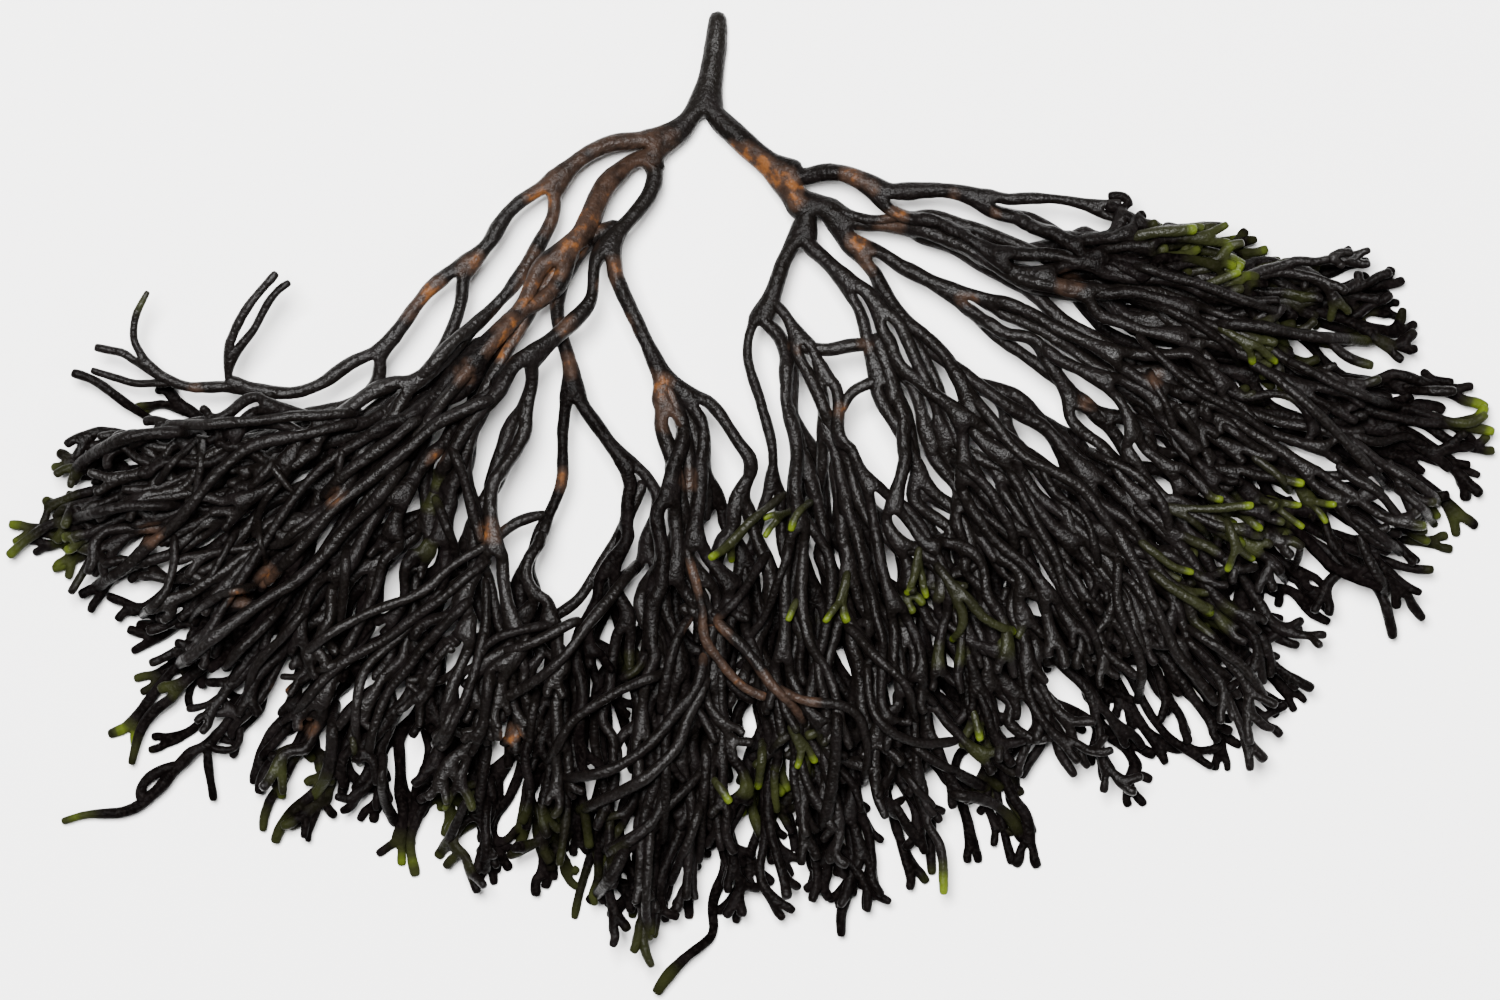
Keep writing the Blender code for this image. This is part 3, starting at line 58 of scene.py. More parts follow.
# Limbs: name: (limb it grows from, radius at its base and at its end in mm,
#               [(plan u, plan v, height of the centre line in mm), ...])
LIMBS = {
    "stalk": (None, 2.5, 2.9, [
        (71.7, 0.9, 1.6), (71.6, 3.2, 1.8), (71.2, 6.4, 2.7), (70.7, 9.2, 4.0), (70.4, 10.6, 4.6)]),
    "left_stem": ("stalk", 2.75, 2.64, [(68.7, 12.3, 5.4), (66.9, 13.6, 6.2), (65.3, 14.5, 7.0)]),
    "right_stem": ("stalk", 2.6, 3.4, [
        (73.0, 13.0, 5.6), (75.6, 15.4, 7.0), (77.6, 17.0, 8.0), (79.2, 18.2, 8.6)]),
    "left_neck": ("left_stem", 2.53, 2.42, [(64.5, 15.6, 7.5)]),
    "left_arch": ("left_stem", 2.09, 2.2, [
        (62.4, 14.1, 8.0), (59.6, 14.9, 9.0), (57.0, 16.7, 9.8), (55.0, 18.9, 10.5)]),
    "left_high": ("left_arch", 1.87, 1.98, [
        (52.4, 19.9, 11.5), (50.4, 21.9, 12.0), (48.8, 24.5, 12.5), (46.1, 27.2, 13.0)]),
    "left_rim": ("left_high", 1.76, 1.87, [
        (43.5, 28.5, 13.5), (41.5, 30.9, 14.0), (39.8, 33.3, 14.0), (37.9, 35.4, 14.0)]),
    "rim_crest": ("left_rim", 1.65, 1.65, [
        (35.3, 36.2, 14.5), (32.7, 38.1, 14.5), (29.8, 39.2, 14.0), (26.2, 39.0, 14.0), (23.2, 38.3, 14.0)]),
    "upper_prong": ("rim_crest", 1.26, 1.21, [(23.1, 37.0, 15.5), (23.6, 35.0, 17.0)]),
    "upper_prong_left": ("upper_prong", 1.16, 0.99, [
        (24.3, 32.4, 19.0), (25.8, 29.9, 20.0), (28.1, 27.3, 20.5)]),
    "upper_prong_right": ("upper_prong", 1.16, 0.99, [
        (25.6, 33.2, 18.0), (26.8, 30.9, 19.0), (28.0, 29.2, 19.5), (29.4, 28.2, 20.0)]),
    "left_prong": ("rim_crest", 1.43, 1.32, [(19.6, 38.7, 13.5), (16.6, 37.7, 13.0), (14.4, 36.0, 13.0)]),
    "left_prong_high": ("left_prong", 1.16, 0.94, [
        (13.7, 34.0, 13.8), (13.9, 31.6, 15.0), (15.2, 29.1, 16.0)]),
    "left_prong_low": ("left_prong", 1.16, 0.99, [(12.6, 35.2, 12.5), (10.8, 34.9, 12.0), (9.7, 34.6, 12.0)]),
    "left_inner_rim": ("left_rim", 1.76, 1.65, [
        (38.2, 37.3, 13.0), (37.0, 39.3, 12.0), (34.4, 40.6, 11.0), (30.5, 41.3, 10.5)]),
    "left_second": ("left_high", 1.76, 1.76, [
        (46.3, 29.8, 13.0), (45.1, 33.4, 13.0), (43.2, 36.7, 13.0), (40.6, 39.0, 13.0), (36.6, 41.6, 12.5)]),
    "left_third": ("left_arch", 1.87, 1.76, [
        (55.5, 21.1, 11.0), (54.2, 24.0, 12.0), (52.2, 27.4, 13.5), (50.0, 30.2, 15.0), (46.8, 33.3, 17.0),
        (43.0, 37.0, 19.0)]),
    "brown_stem": ("left_neck", 2.3, 2.7, [
        (62.3, 16.8, 8.5), (60.4, 18.7, 10.0), (59.3, 21.2, 12.0), (58.4, 23.8, 13.5)]),
    "brown_reach": ("brown_stem", 2.5, 1.9, [
        (56.4, 26.2, 15.0), (54.0, 28.8, 17.0), (51.4, 31.8, 19.0), (48.4, 35.2, 21.0), (45.5, 39.0, 22.5)]),
    "outlier": ("brown_reach", 1.54, 1.21, [
        (40.0, 46.0, 21.0), (34.0, 54.0, 17.0), (28.6, 63.0, 12.0), (24.2, 70.2, 8.0), (20.6, 74.6, 6.0)]),
    "outlier_end": ("outlier", 1.9, 1.0, [
        (18.0, 76.2, 5.0), (15.6, 79.0, 4.0), (12.6, 81.0, 3.0), (8.8, 81.2, 2.5), (6.1, 82.0, 2.0)]),
    "outlier_side": ("outlier", 1.2, 1.1, [(20.9, 76.8, 5.0), (21.4, 79.9, 3.5)]),
    "inner_drop": ("brown_stem", 1.87, 1.98, [
        (56.7, 26.8, 13.2), (55.7, 30.0, 13.0), (56.1, 33.4, 13.5), (57.1, 36.6, 14.0), (57.3, 39.6, 14.0)]),
    "drop_left": ("inner_drop", 1.65, 1.54, [
        (56.4, 41.7, 13.5), (56.3, 44.8, 13.0), (56.2, 48.2, 12.5), (54.8, 51.5, 12.0)]),
    "drop_right": ("inner_drop", 1.65, 1.65, [
        (59.0, 41.5, 14.0), (61.0, 44.2, 14.0), (63.0, 46.6, 14.5), (65.2, 48.4, 15.0)]),
    "loop_stem": ("left_neck", 2.09, 2.09, [
        (65.5, 17.6, 8.0), (64.7, 19.8, 9.5), (62.8, 22.1, 11.5), (61.2, 23.9, 13.5), (60.6, 25.3, 14.5)]),
    "loop_return": ("loop_stem", 1.9, 2.2, [
        (59.9, 28.2, 16.0), (59.0, 30.4, 16.8), (57.6, 31.9, 18.0), (55.4, 33.9, 19.0), (52.9, 36.0, 20.5)]),
    "return_high": ("loop_return", 2.0, 1.8, [(50.4, 38.2, 21.5), (47.6, 41.6, 22.5), (45.0, 46.0, 23.0)]),
    "return_fall": ("loop_return", 1.9, 1.7, [
        (53.4, 37.8, 18.5), (52.4, 41.4, 17.0), (50.4, 45.0, 16.0), (49.2, 48.6, 15.5), (49.2, 52.4, 15.5)]),
    "centre_drop": ("loop_stem", 1.98, 2.09, [
        (61.8, 28.2, 16.5), (63.4, 31.6, 16.5), (65.0, 35.0, 17.0), (66.5, 38.1, 17.5)]),
    "centre_left": ("centre_drop", 2.2, 2.0, [(66.7, 40.8, 18.0), (67.0, 44.0, 18.5), (67.6, 47.5, 19.5)]),
    "centre_right": ("centre_drop", 1.76, 1.76, [(69.3, 39.9, 17.0), (72.0, 42.3, 17.0), (74.7, 45.3, 17.5)]),
    "right_arch": ("right_stem", 1.98, 2.09, [
        (80.8, 17.6, 9.6), (82.6, 17.2, 10.8), (84.6, 17.5, 12.0), (86.7, 18.5, 13.0), (88.2, 19.6, 13.5)]),
    "right_rim": ("right_arch", 1.98, 1.98, [(91.6, 19.1, 14.0), (95.2, 19.2, 14.5), (98.6, 20.3, 15.0)]),
    "rim_runner": ("right_rim", 1.43, 1.32, [(102.4, 19.9, 15.5), (106.2, 20.1, 15.5), (109.6, 20.9, 15.0)]),
    "rim_runner_high": ("rim_runner", 1.1, 0.99, [(110.7, 20.5, 15.3), (111.8, 20.3, 15.5)]),
    "rim_runner_low": ("rim_runner", 1.21, 1.21, [
        (111.4, 21.8, 15.0), (113.0, 23.3, 15.0), (116.0, 23.6, 15.5), (119.0, 23.3, 16.0)]),
    "rim_inner": ("right_rim", 1.65, 1.65, [(101.4, 21.6, 15.0), (104.4, 23.0, 15.0), (107.6, 24.6, 15.0)]),
    "right_rim_low": ("right_arch", 1.87, 1.76, [
        (88.9, 21.1, 13.5), (91.2, 21.6, 13.0), (94.4, 22.1, 12.5), (97.8, 23.1, 12.5), (101.6, 24.6, 13.0)]),
    "right_neck": ("right_stem", 3.2, 2.7, [(80.3, 19.3, 9.0), (81.2, 20.5, 9.3)]),
    "right_second": ("right_neck", 2.5, 2.42, [(82.8, 21.6, 9.6), (84.4, 22.6, 10.0)]),
    "right_middle": ("right_second", 1.98, 1.87, [
        (87.6, 22.4, 10.5), (91.0, 23.0, 11.0), (94.4, 24.2, 11.5), (97.6, 26.2, 12.0), (101.2, 28.3, 13.0)]),
    "right_third": ("right_second", 2.31, 2.2, [(85.6, 23.6, 10.5), (86.6, 25.2, 11.0)]),
    "right_lower": ("right_third", 1.87, 1.76, [(89.2, 26.3, 12.0), (92.6, 28.0, 13.0), (95.9, 29.7, 13.5)]),
    "right_lower_high": ("right_lower", 1.65, 1.65, [
        (99.2, 30.4, 14.5), (102.4, 32.1, 16.0), (105.2, 33.9, 17.5)]),
    "right_lower_low": ("right_lower", 1.65, 1.65, [
        (97.8, 31.9, 13.0), (101.0, 34.6, 13.0), (104.6, 37.2, 13.5)]),
    "right_deep": ("right_third", 1.98, 1.87, [
        (87.8, 28.4, 12.5), (89.8, 31.8, 14.0), (92.8, 34.8, 16.0), (96.4, 37.6, 18.0), (100.3, 40.4, 20.0)]),
    "down_stem": ("right_neck", 2.09, 2.2, [(80.5, 22.2, 9.5), (80.0, 24.0, 10.0)]),
    "down_left": ("down_stem", 2.0, 2.0, [
        (78.4, 25.8, 11.0), (77.5, 28.4, 12.0), (76.7, 30.6, 12.5), (75.9, 31.9, 13.0)]),
    "down_left_outer": ("down_left", 1.32, 1.43, [
        (74.7, 33.8, 13.0), (74.9, 36.8, 13.0), (76.0, 40.2, 13.0), (77.0, 44.0, 13.5)]),
    "down_left_inner": ("down_left", 1.76, 1.76, [
        (77.8, 33.5, 14.0), (78.7, 35.9, 15.0), (78.8, 39.0, 16.0), (79.2, 42.6, 17.0)]),
    "down_right": ("down_stem", 1.87, 1.87, [(82.4, 26.0, 12.5), (85.1, 28.8, 15.0)]),
    "down_right_high": ("down_right", 1.76, 1.76, [
        (88.0, 31.6, 17.0), (90.6, 34.8, 18.5), (92.6, 38.7, 20.0)]),
    "down_right_drop": ("down_right", 1.54, 1.76, [
        (86.0, 31.6, 15.5), (86.7, 34.6, 16.0), (87.9, 38.0, 17.0), (89.6, 42.4, 18.5)]),
}

# Strands that leave one limb partway along it and may meet another: name: (radii in mm, route as above)
SIDE_STRANDS = {
    "left_prong_under": (1.16, 0.99, [
        (17.6, 38.2, 13.0), (15.6, 38.2, 12.0), (13.9, 38.3, 11.0), (11.5, 37.6, 10.5), (9.3, 36.9, 10.0)]),
    "small_loop": (1.43, 1.76, [
        (76.9, 29.9, 12.4), (78.4, 31.4, 14.5), (79.8, 34.0, 16.0), (80.9, 37.4, 17.5), (82.3, 41.0, 18.5)]),
    "bridge": (1.65, 1.65, [(79.3, 34.5, 15.4), (82.4, 35.0, 16.3), (84.8, 34.5, 16.5), (86.8, 34.4, 16.0)]),
    "curl": (1.65, 1.21, [(87.9, 37.8, 17.0), (86.2, 38.5, 17.5), (84.7, 39.4, 17.5), (83.9, 41.2, 18.0)]),
    "loop_web": (2.4, 2.4, [(62.2, 22.4, 11.2), (60.4, 23.2, 11.8), (57.8, 24.4, 12.2)]),
    "arch_closer": (1.65, 1.54, [
        (83.4, 20.9, 9.8), (85.4, 21.8, 11.0), (87.6, 22.0, 12.2), (89.8, 21.7, 13.2)]),
    "broad_web": (1.98, 1.76, [
        (87.2, 33.2, 16.2), (88.2, 35.6, 16.8), (88.9, 38.0, 17.4), (89.3, 40.6, 18.0)]),
    "brown_second": (2.3, 1.7, [
        (57.8, 24.8, 13.4), (55.4, 27.6, 14.6), (53.2, 30.8, 16.0), (50.6, 35.6, 18.2), (47.8, 40.4, 19.6)]),
    "centre_bundle": (2.1, 1.5, [
        (66.3, 37.6, 16.6), (68.3, 40.8, 15.8), (69.7, 44.4, 15.5), (70.4, 48.2, 16.0), (70.4, 52.0, 15.0)]),
    "centre_inner": (2.1, 1.65, [
        (66.4, 38.0, 17.4), (68.0, 41.6, 17.6), (68.8, 45.4, 17.4), (68.9, 49.4, 17.0), (68.6, 53.6, 16.0)]),
    "return_middle": (1.9, 1.65, [
        (49.0, 40.0, 21.8), (47.0, 44.0, 20.4), (46.9, 48.0, 19.0), (47.8, 51.8, 17.4), (48.2, 55.6, 15.6)]),
    "gap_hook": (1.43, 1.43, [
        (54.9, 51.2, 12.1), (52.6, 51.7, 12.5), (50.6, 52.8, 13.4), (49.2, 54.2, 14.0)]),
    "gap_rim": (1.65, 1.43, [
        (64.4, 47.8, 14.8), (62.2, 52.8, 14.0), (60.0, 56.4, 13.0), (57.6, 60.0, 12.2), (54.4, 62.0, 11.5),
        (51.2, 64.6, 10.0)]),
    "right_web": (2.0, 1.65, [
        (100.4, 27.6, 12.7), (103.2, 29.4, 14.0), (105.6, 31.8, 15.0), (109.2, 33.8, 15.5),
        (113.2, 36.4, 16.0)]),
    "deep_left": (1.9, 1.65, [
        (90.0, 32.2, 14.2), (92.6, 36.6, 16.4), (94.2, 40.6, 17.6), (95.8, 44.6, 17.6), (98.0, 48.4, 17.0)]),
    "outlier_lobe": (1.54, 1.54, [
        (18.0, 76.2, 5.0), (15.7, 77.0, 4.4), (14.1, 78.4, 4.0), (14.3, 80.2, 3.6)]),
    "outlier_hook": (1.32, 1.21, [
        (20.8, 74.4, 6.0), (22.6, 74.9, 6.0), (24.0, 74.3, 6.5), (24.1, 72.4, 7.5)]),
}

# Tips along the fan's rim that the spray at a limb's end reaches, in order round the rim: (plan u, plan v)
RIMS = {
    "left_inner_rim": [(14.8, 41.6), (5.4, 45.9), (5.6, 47.3), (9.5, 47.6)],
    "left_second": [(4.3, 49.2), (5.3, 51.3), (1.2, 52.4), (0.8, 55.5), (7.6, 53.9)],
    "left_third": [(4.9, 56.2), (7.2, 59.2), (8.3, 60.1), (11.2, 61.6), (13.4, 64.6), (15.0, 66.2)],
    "brown_reach": [(13.6, 68.7), (11.8, 74.0), (13.1, 76.3), (20.5, 72.0)],
    "return_high": [(23.3, 75.1), (26.5, 78.2), (28.9, 77.6), (26.2, 83.0), (27.4, 84.2), (33.0, 79.5)],
    "return_fall": [(34.1, 81.0), (36.8, 82.3), (40.2, 83.8), (43.3, 81.0), (41.5, 87.5), (44.8, 87.7)],
    "drop_left": [(44.6, 83.0), (48.6, 88.3), (50.0, 87.3), (53.9, 87.6), (54.1, 89.6)],
    "drop_right": [(55.4, 85.2), (57.3, 91.8), (61.1, 91.5), (63.3, 91.2)],
    "centre_left": [(63.4, 94.2), (65.2, 96.4), (66.5, 92.0), (71.3, 93.2), (68.6, 90.9), (72.9, 90.7)],
    "centre_right": [(71.0, 80.0), (73.4, 87.0), (75.0, 88.8), (76.5, 84.0)],
    "down_left_outer": [(77.8, 92.0), (78.4, 89.6), (79.4, 85.0)],
    "down_left_inner": [(84.0, 93.5), (84.5, 90.7), (85.1, 89.4), (86.4, 89.6)],
    "small_loop": [(91.2, 88.8), (94.2, 89.2), (92.0, 85.0), (97.6, 86.0), (103.3, 86.1)],
    "down_right_drop": [(99.0, 81.0), (101.5, 77.2), (104.0, 73.8), (106.3, 76.0), (107.2, 77.5)],
    "down_right_high": [
        (108.4, 73.0), (111.3, 78.9), (115.3, 78.3), (117.8, 74.0), (120.9, 76.7), (122.7, 76.9)],
    "right_deep": [(125.7, 76.3), (127.3, 73.5), (130.2, 70.3), (129.6, 68.8), (126.0, 64.0)],
    "right_lower_low": [
        (131.9, 64.2), (132.8, 62.0), (133.2, 60.8), (136.6, 57.4), (138.4, 57.6), (141.8, 59.2),
        (143.1, 56.8)],
    "right_lower_high": [(144.7, 54.7), (147.3, 52.6), (148.1, 49.1), (147.3, 47.5)],
    "right_middle": [(149.1, 44.8), (149.1, 42.6), (143.0, 41.6), (139.4, 38.8)],
    "right_rim_low": [(141.0, 36.6), (141.2, 32.5), (140.2, 30.3), (140.0, 27.9), (138.9, 27.1)],
    "rim_inner": [(132.4, 28.3), (132.0, 29.2), (130.6, 26.2), (124.7, 25.2), (124.7, 23.6), (119.5, 25.5)],
}

# Tips of the rim whose strand goes on along a drawn course: tip: [(plan u, plan v, height in mm), ...]
TRAILS = {
    (14.8, 41.6): [(12.4, 40.0, 8.0), (9.8, 38.0, 9.0), (7.3, 37.1, 9.0)],
    (71.3, 93.2): [(69.6, 94.6, 5.0), (68.0, 95.9, 4.5), (66.5, 97.6, 4.0), (65.4, 99.2, 3.5)],
    (136.6, 57.4): [(137.8, 59.2, 8.0), (138.6, 61.6, 6.0), (139.1, 63.7, 4.0)],
    (138.4, 57.6): [(140.0, 59.6, 9.0), (142.1, 61.8, 7.0)],
    (143.0, 41.6): [(145.2, 42.2, 9.0), (147.0, 42.2, 8.5), (148.3, 41.2, 8.0)],
    (139.4, 38.8): [(142.4, 39.0, 9.0), (145.3, 39.0, 9.0)],
}

# A second spray leaves each of these limbs inside the fan, upwards, at this share of the limb's route
SIDE_LIFT = 0.5
SIDE_SPRAYS = {
    "left_second": 0.8,
    "left_third": 0.8,
    "brown_reach": 0.2,
    "return_high": 0.3,
    "return_fall": 0.3,
    "drop_left": 0.9,
    "drop_right": 0.7,
    "centre_left": 0.3,
    "centre_right": 0.3,
    "down_left_inner": 0.5,
    "small_loop": 0.6,
    "down_right_drop": 0.8,
    "down_right_high": 0.4,
    "right_deep": 0.35,
    "right_lower_low": 0.4,
    "right_lower_high": 0.4,
    "right_middle": 0.4,
    "right_rim_low": 0.4,
    "rim_inner": 0.4,
}

# Gaps that stay open between the limbs: (plan u, plan v, radius in plan steps)
GAPS = [
    (53.1, 47.6, 2.3),
    (51.9, 55.0, 1.0),
    (55.6, 57.0, 2.5),
    (59.6, 51.0, 2.7),
    (59.4, 46.6, 1.8),
    (39.6, 57.4, 1.1),
    (49.8, 42.4, 1.2),
    (71.6, 34.0, 3.0),
    (73.4, 46.8, 1.2),
    (72.8, 51.4, 1.1),
    (87.5, 42.5, 2.4),
    (89.2, 47.5, 2.0),
    (85.5, 53.8, 1.1),
    (93.2, 52.5, 1.6),
    (99.8, 58.0, 1.6),
    (89.2, 57.2, 0.9),
    (94.8, 55.2, 1.0),
    (99.6, 35.2, 0.9),
    (102.2, 37.8, 1.4),
    (104.5, 40.0, 1.8),
    (61.6, 61.0, 0.8),
    (22.5, 72.0, 1.0),
    (88.8, 69.4, 0.8),
    (90.2, 66.0, 0.6),
    (94.8, 66.0, 0.8),
    (95.5, 70.4, 0.9),
    (99.8, 70.4, 0.8),
    (75.0, 71.6, 1.2),
    (73.6, 78.2, 0.7),
    (42.5, 33.5, 1.3),
    (40.9, 36.0, 0.9),
    (35.8, 38.0, 0.8),
    (48.9, 32.6, 0.4),
    (47.9, 34.3, 0.4),
    (54.2, 32.4, 0.7),
    (53.2, 34.8, 0.8),
    (57.6, 28.6, 1.1),
    (54.4, 41.4, 1.3),
    (43.9, 40.2, 0.4),
    (10.6, 46.3, 0.9),
    (12.7, 45.9, 1.1),
    (14.8, 45.5, 0.9),
    (16.6, 43.9, 0.5),
    (8.6, 49.5, 0.9),
    (18.4, 46.8, 1.3),
    (22.3, 45.7, 0.8),
    (18.4, 59.8, 0.8),
    (105.4, 21.0, 0.8),
    (109.6, 22.4, 1.0),
    (112.5, 25.2, 0.7),
    (120.6, 25.3, 0.7),
    (105.0, 26.6, 0.6),
    (107.0, 27.6, 0.9),
    (109.4, 29.0, 0.5),
    (109.9, 30.6, 0.6),
    (113.2, 30.6, 0.9),
    (102.6, 34.8, 0.7),
    (105.4, 36.0, 0.6),
    (91.9, 36.6, 0.5),
    (95.4, 38.9, 0.5),
    (97.9, 43.8, 0.6),
    (107.4, 39.5, 0.5),
    (110.0, 41.1, 0.5),
    (111.8, 43.8, 0.5),
    (123.8, 38.4, 0.9),
    (121.3, 42.0, 0.7),
    (130.3, 35.6, 1.1),
    (134.8, 35.2, 1.0),
    (126.5, 27.7, 0.6),
]

# Notches in the fan's rim, in the same way
NOTCHES = [
    (25.2, 73.0, 1.5),
    (29.6, 76.2, 1.1),
    (32.5, 82.8, 1.1),
    (36.8, 79.6, 0.7),
    (40.3, 80.8, 0.9),
    (42.6, 83.2, 1.3),
    (46.0, 79.8, 0.8),
    (46.9, 83.4, 1.3),
    (50.5, 82.6, 1.2),
    (53.2, 86.0, 1.2),
    (54.6, 79.6, 0.9),
    (58.8, 87.0, 1.3),
    (61.8, 89.6, 0.8),
    (67.4, 93.4, 1.6),
    (74.6, 83.4, 1.5),
    (76.2, 86.2, 0.8),
    (74.8, 89.8, 1.0),
    (83.5, 87.6, 1.3),
    (85.0, 84.0, 1.6),
    (89.0, 87.2, 1.6),
    (94.6, 83.4, 1.3),
    (94.2, 85.9, 0.8),
    (98.2, 82.6, 0.9),
    (100.8, 84.8, 1.0),
    (96.8, 76.5, 1.4),
    (104.3, 75.6, 1.5),
    (108.4, 73.4, 1.1),
    (112.0, 76.0, 1.2),
    (11.4, 54.6, 1.3),
    (8.4, 55.5, 1.1),
    (5.8, 55.2, 0.8),
    (14.6, 58.8, 1.5),
    (15.6, 65.4, 1.0),
    (134.0, 26.6, 2.0),
    (137.2, 31.4, 0.8),
    (139.4, 37.1, 0.5),
    (146.4, 39.8, 1.2),
    (143.2, 40.5, 0.6),
    (134.2, 59.2, 1.6),
    (135.4, 62.4, 2.1),
    (127.6, 64.6, 1.1),
    (130.6, 66.4, 1.6),
    (143.4, 55.8, 0.7),
    (143.6, 58.4, 0.8),
    (102.6, 78.0, 1.7),
    (102.4, 75.4, 1.2),
    (144.6, 34.6, 3.0),
    (148.0, 37.4, 2.4),
    (137.6, 35.4, 0.8),
]

# Round stretches of bare ground that bound the fan from outside, in the same way
GROUND = [
    (119.0, 9.2, 13.2),
    (131.5, 17.0, 8.6),
    (137.0, 22.6, 3.0),
    (155.2, 37.2, 7.0),
    (30.0, 34.0, 4.0),
    (36.0, 31.6, 3.4),
    (1.2, 45.4, 3.4),
    (8.2, 42.4, 1.8),
    (2.8, 50.8, 1.6),
    (0.4, 48.8, 2.8),
    (0.0, 62.0, 4.6),
    (57.4, 96.4, 3.0),
    (61.0, 98.4, 3.6),
    (70.6, 98.8, 3.2),
    (77.0, 95.4, 3.4),
    (28.6, 88.0, 3.4),
    (24.0, 80.2, 1.8),
    (36.0, 87.8, 2.4),
    (89.6, 94.4, 2.8),
    (107.4, 83.6, 3.6),
    (136.0, 70.4, 3.6),
    (148.6, 62.4, 3.4),
    (105.2, 79.4, 1.4),
]
GAP_MARGIN = 1.2 * MM

# Tips inside the fan, over and under those of the rim: how many for each tip of the rim, the shares of
# the way out at which they end, their heights in mm, and how far their strands bulge upwards in mm
END_DEPTHS = [
    (0.7, (0.72, 0.94), (1.5, 5.0), -6.0),
    (0.7, (0.62, 0.92), (8.0, 16.0), 4.0),
]
SIDE_DEPTHS = [
    (0.7, (0.50, 0.86), (4.0, 12.0), -2.0),
    (1.0, (0.42, 0.84), (14.0, 26.0), 9.0),
]
RIM_HEIGHTS = (-3.0, 12.0)

# The neighbours of a tip: how many there are, how far apart, how much further back each next one may end and
# how far up or down it may be in mm, how far back they are at the rim, and how often one keeps to its side
RIM_NEIGHBOURS = (0, 1, 2)
INNER_NEIGHBOURS = (1, 1, 2)
NEIGHBOUR_SPREAD = (4.5 * MM, 8.0 * MM)
NEIGHBOUR_STEP_BACK = 4.0
NEIGHBOUR_HEIGHT = 2.5
RIM_NEIGHBOURS_BACK = 1.5
SAME_SIDE_CHANCE = 0.35

# Most strands end in two short prongs that stand well apart, and some prongs fork once more
FORKED_TIPS = 0.78
FORKED_PRONGS = 0.28
PRONG_LENGTHS = (4.0 * MM, 6.8 * MM)
PRONG_SHARES = (0.75, 1.1)
PRONG_ANGLES = (24, 44)
PRONG_TILT = 30
PRONG_BEND = 0.5
PRONG_REACH = 0.8
LEAST_STEM = 3.0 * MM

# The least height of a strand's centre line, in radii: what lies on the surface is a little flattened
REST_HEIGHT = 0.72

# Above the first height strands lie closer on one another, and none has its centre line above the second
CLOSE_HEIGHT = 15.0 * MM
CLOSENESS = 0.62
GREATEST_HEIGHT = 23.5 * MM

# Growth of a strand
TIP_RADIUS = 1.22 * MM
TIP_TAPER = (0.9, 1.12)
TIPS_OF_FULL_WIDTH = 9
WIDTH_POWER = 0.7
LEAST_STEP = (5.5 * MM, 8.0 * MM)
GREATEST_STEP = (10.0 * MM, 19.0 * MM)
NEAREST_TIP_SHARE = 0.62
GREATEST_SHIFT = 1.5
FORK_SHIFT = 0.2
FORK_LENGTHS = (0.9, 1.4)
FORK_ANGLES = (24, 42)
FORK_TILT = 22
FORK_CUT = (0.38, 0.62)
STRAND_BEND = 0.5
TIP_BEND = 0.9
WOBBLE = 0.3 * MM
SWAY = 9.0 * MM
RIM_SWAY = 6.0 * MM
SHORT_STRETCH = 9.0 * MM
SHORT_STRETCH_POINTS = (0.3, 0.65)
LONG_STRETCH_POINTS = (0.2, 0.4, 0.6, 0.8)
BULGE_SCALE = 2.6
RIM_OVERLAP = 0.12
PLACE_IN_SHARE = (0.1, 0.9)

# A strand to more tips than these forks within the greatest step
FEW_TIPS = 3

# A branch starts at least as wide as one that leads to so many tips
LEAST_TIPS = 1.3

# The least share of a step that counts as forward, and how far a strand turns to its tips before it forks
LEAST_ADVANCE = 0.5
ONWARD_SHARE = 0.4

# What counts when a strand's tips are parted in two groups, by their height or from side to side
HEIGHT_WEIGHT = 1.4
RISE_WEIGHT = 0.5
SWAY_WEIGHT = 0.5
SIDE_FORK_EDGE = (0.7, 1.25)

# Sprays at the fan's two edges bend mostly inwards and open later: limb: (least sway, greatest sway)
EDGE_SWAY = {
    "left_inner_rim": (0.0, 1.0),
    "left_second": (-0.4, 1.0),
    "left_third": (0.1, 1.0),
    "right_rim_low": (-1.0, 0.1),
    "rim_inner": (-0.9, -0.1),
}
EDGE_OPENING = {"left_inner_rim": 0.8, "right_rim_low": 0.75, "rim_inner": 0.95}
OPENING = (0.45, 0.85)


class Run:
    """A stretch of strand from one fork to the next, or to a tip."""

    def __init__(self, point, radius, is_limb=False):
        self.points = [point]
        self.radii = [radius]
        self.forks = []
        self.is_limb = is_limb

    def add(self, point, radius):
        height = point.z
        if height > CLOSE_HEIGHT and not self.is_limb:
            height = min(CLOSE_HEIGHT + (height - CLOSE_HEIGHT) * CLOSENESS, GREATEST_HEIGHT)
        self.points.append(Vector((point.x, point.y, max(height, radius * REST_HEIGHT))))
        self.radii.append(radius)


class Aim:
    """Where a tip ends, how its strand bulges up and sideways, and where it goes on to."""

    def __init__(self, point, rise, sway, trail=()):
        self.point = point
        self.rise = rise
        self.sway = sway
        self.trail = trail


def at(u, v, height):
    """A point of the plan grid, at a height in mm."""
    return Vector(((u - PLAN_MIDDLE[0]) * PLAN_STEP, (PLAN_MIDDLE[1] - v) * PLAN_STEP, height * MM))


def flat(vector):
    return Vector((vector.x, vector.y, 0.0))


def mean(values):
    values = list(values)
    return sum(values) / len(values)


def middle(aims):
    return sum((aim.point for aim in aims), Vector()) / len(aims)


def clear_of_gaps(point):
    """Moves a point out of the gaps that stay open, and off the bare ground round the fan."""
    for u, v, radius in GAPS + NOTCHES + GROUND:
        centre = at(u, v, point.z / MM)
        away = point - centre
        reach = radius * PLAN_STEP + GAP_MARGIN
        if away.length < reach:
            point = centre + away.normalized() * reach
    return point


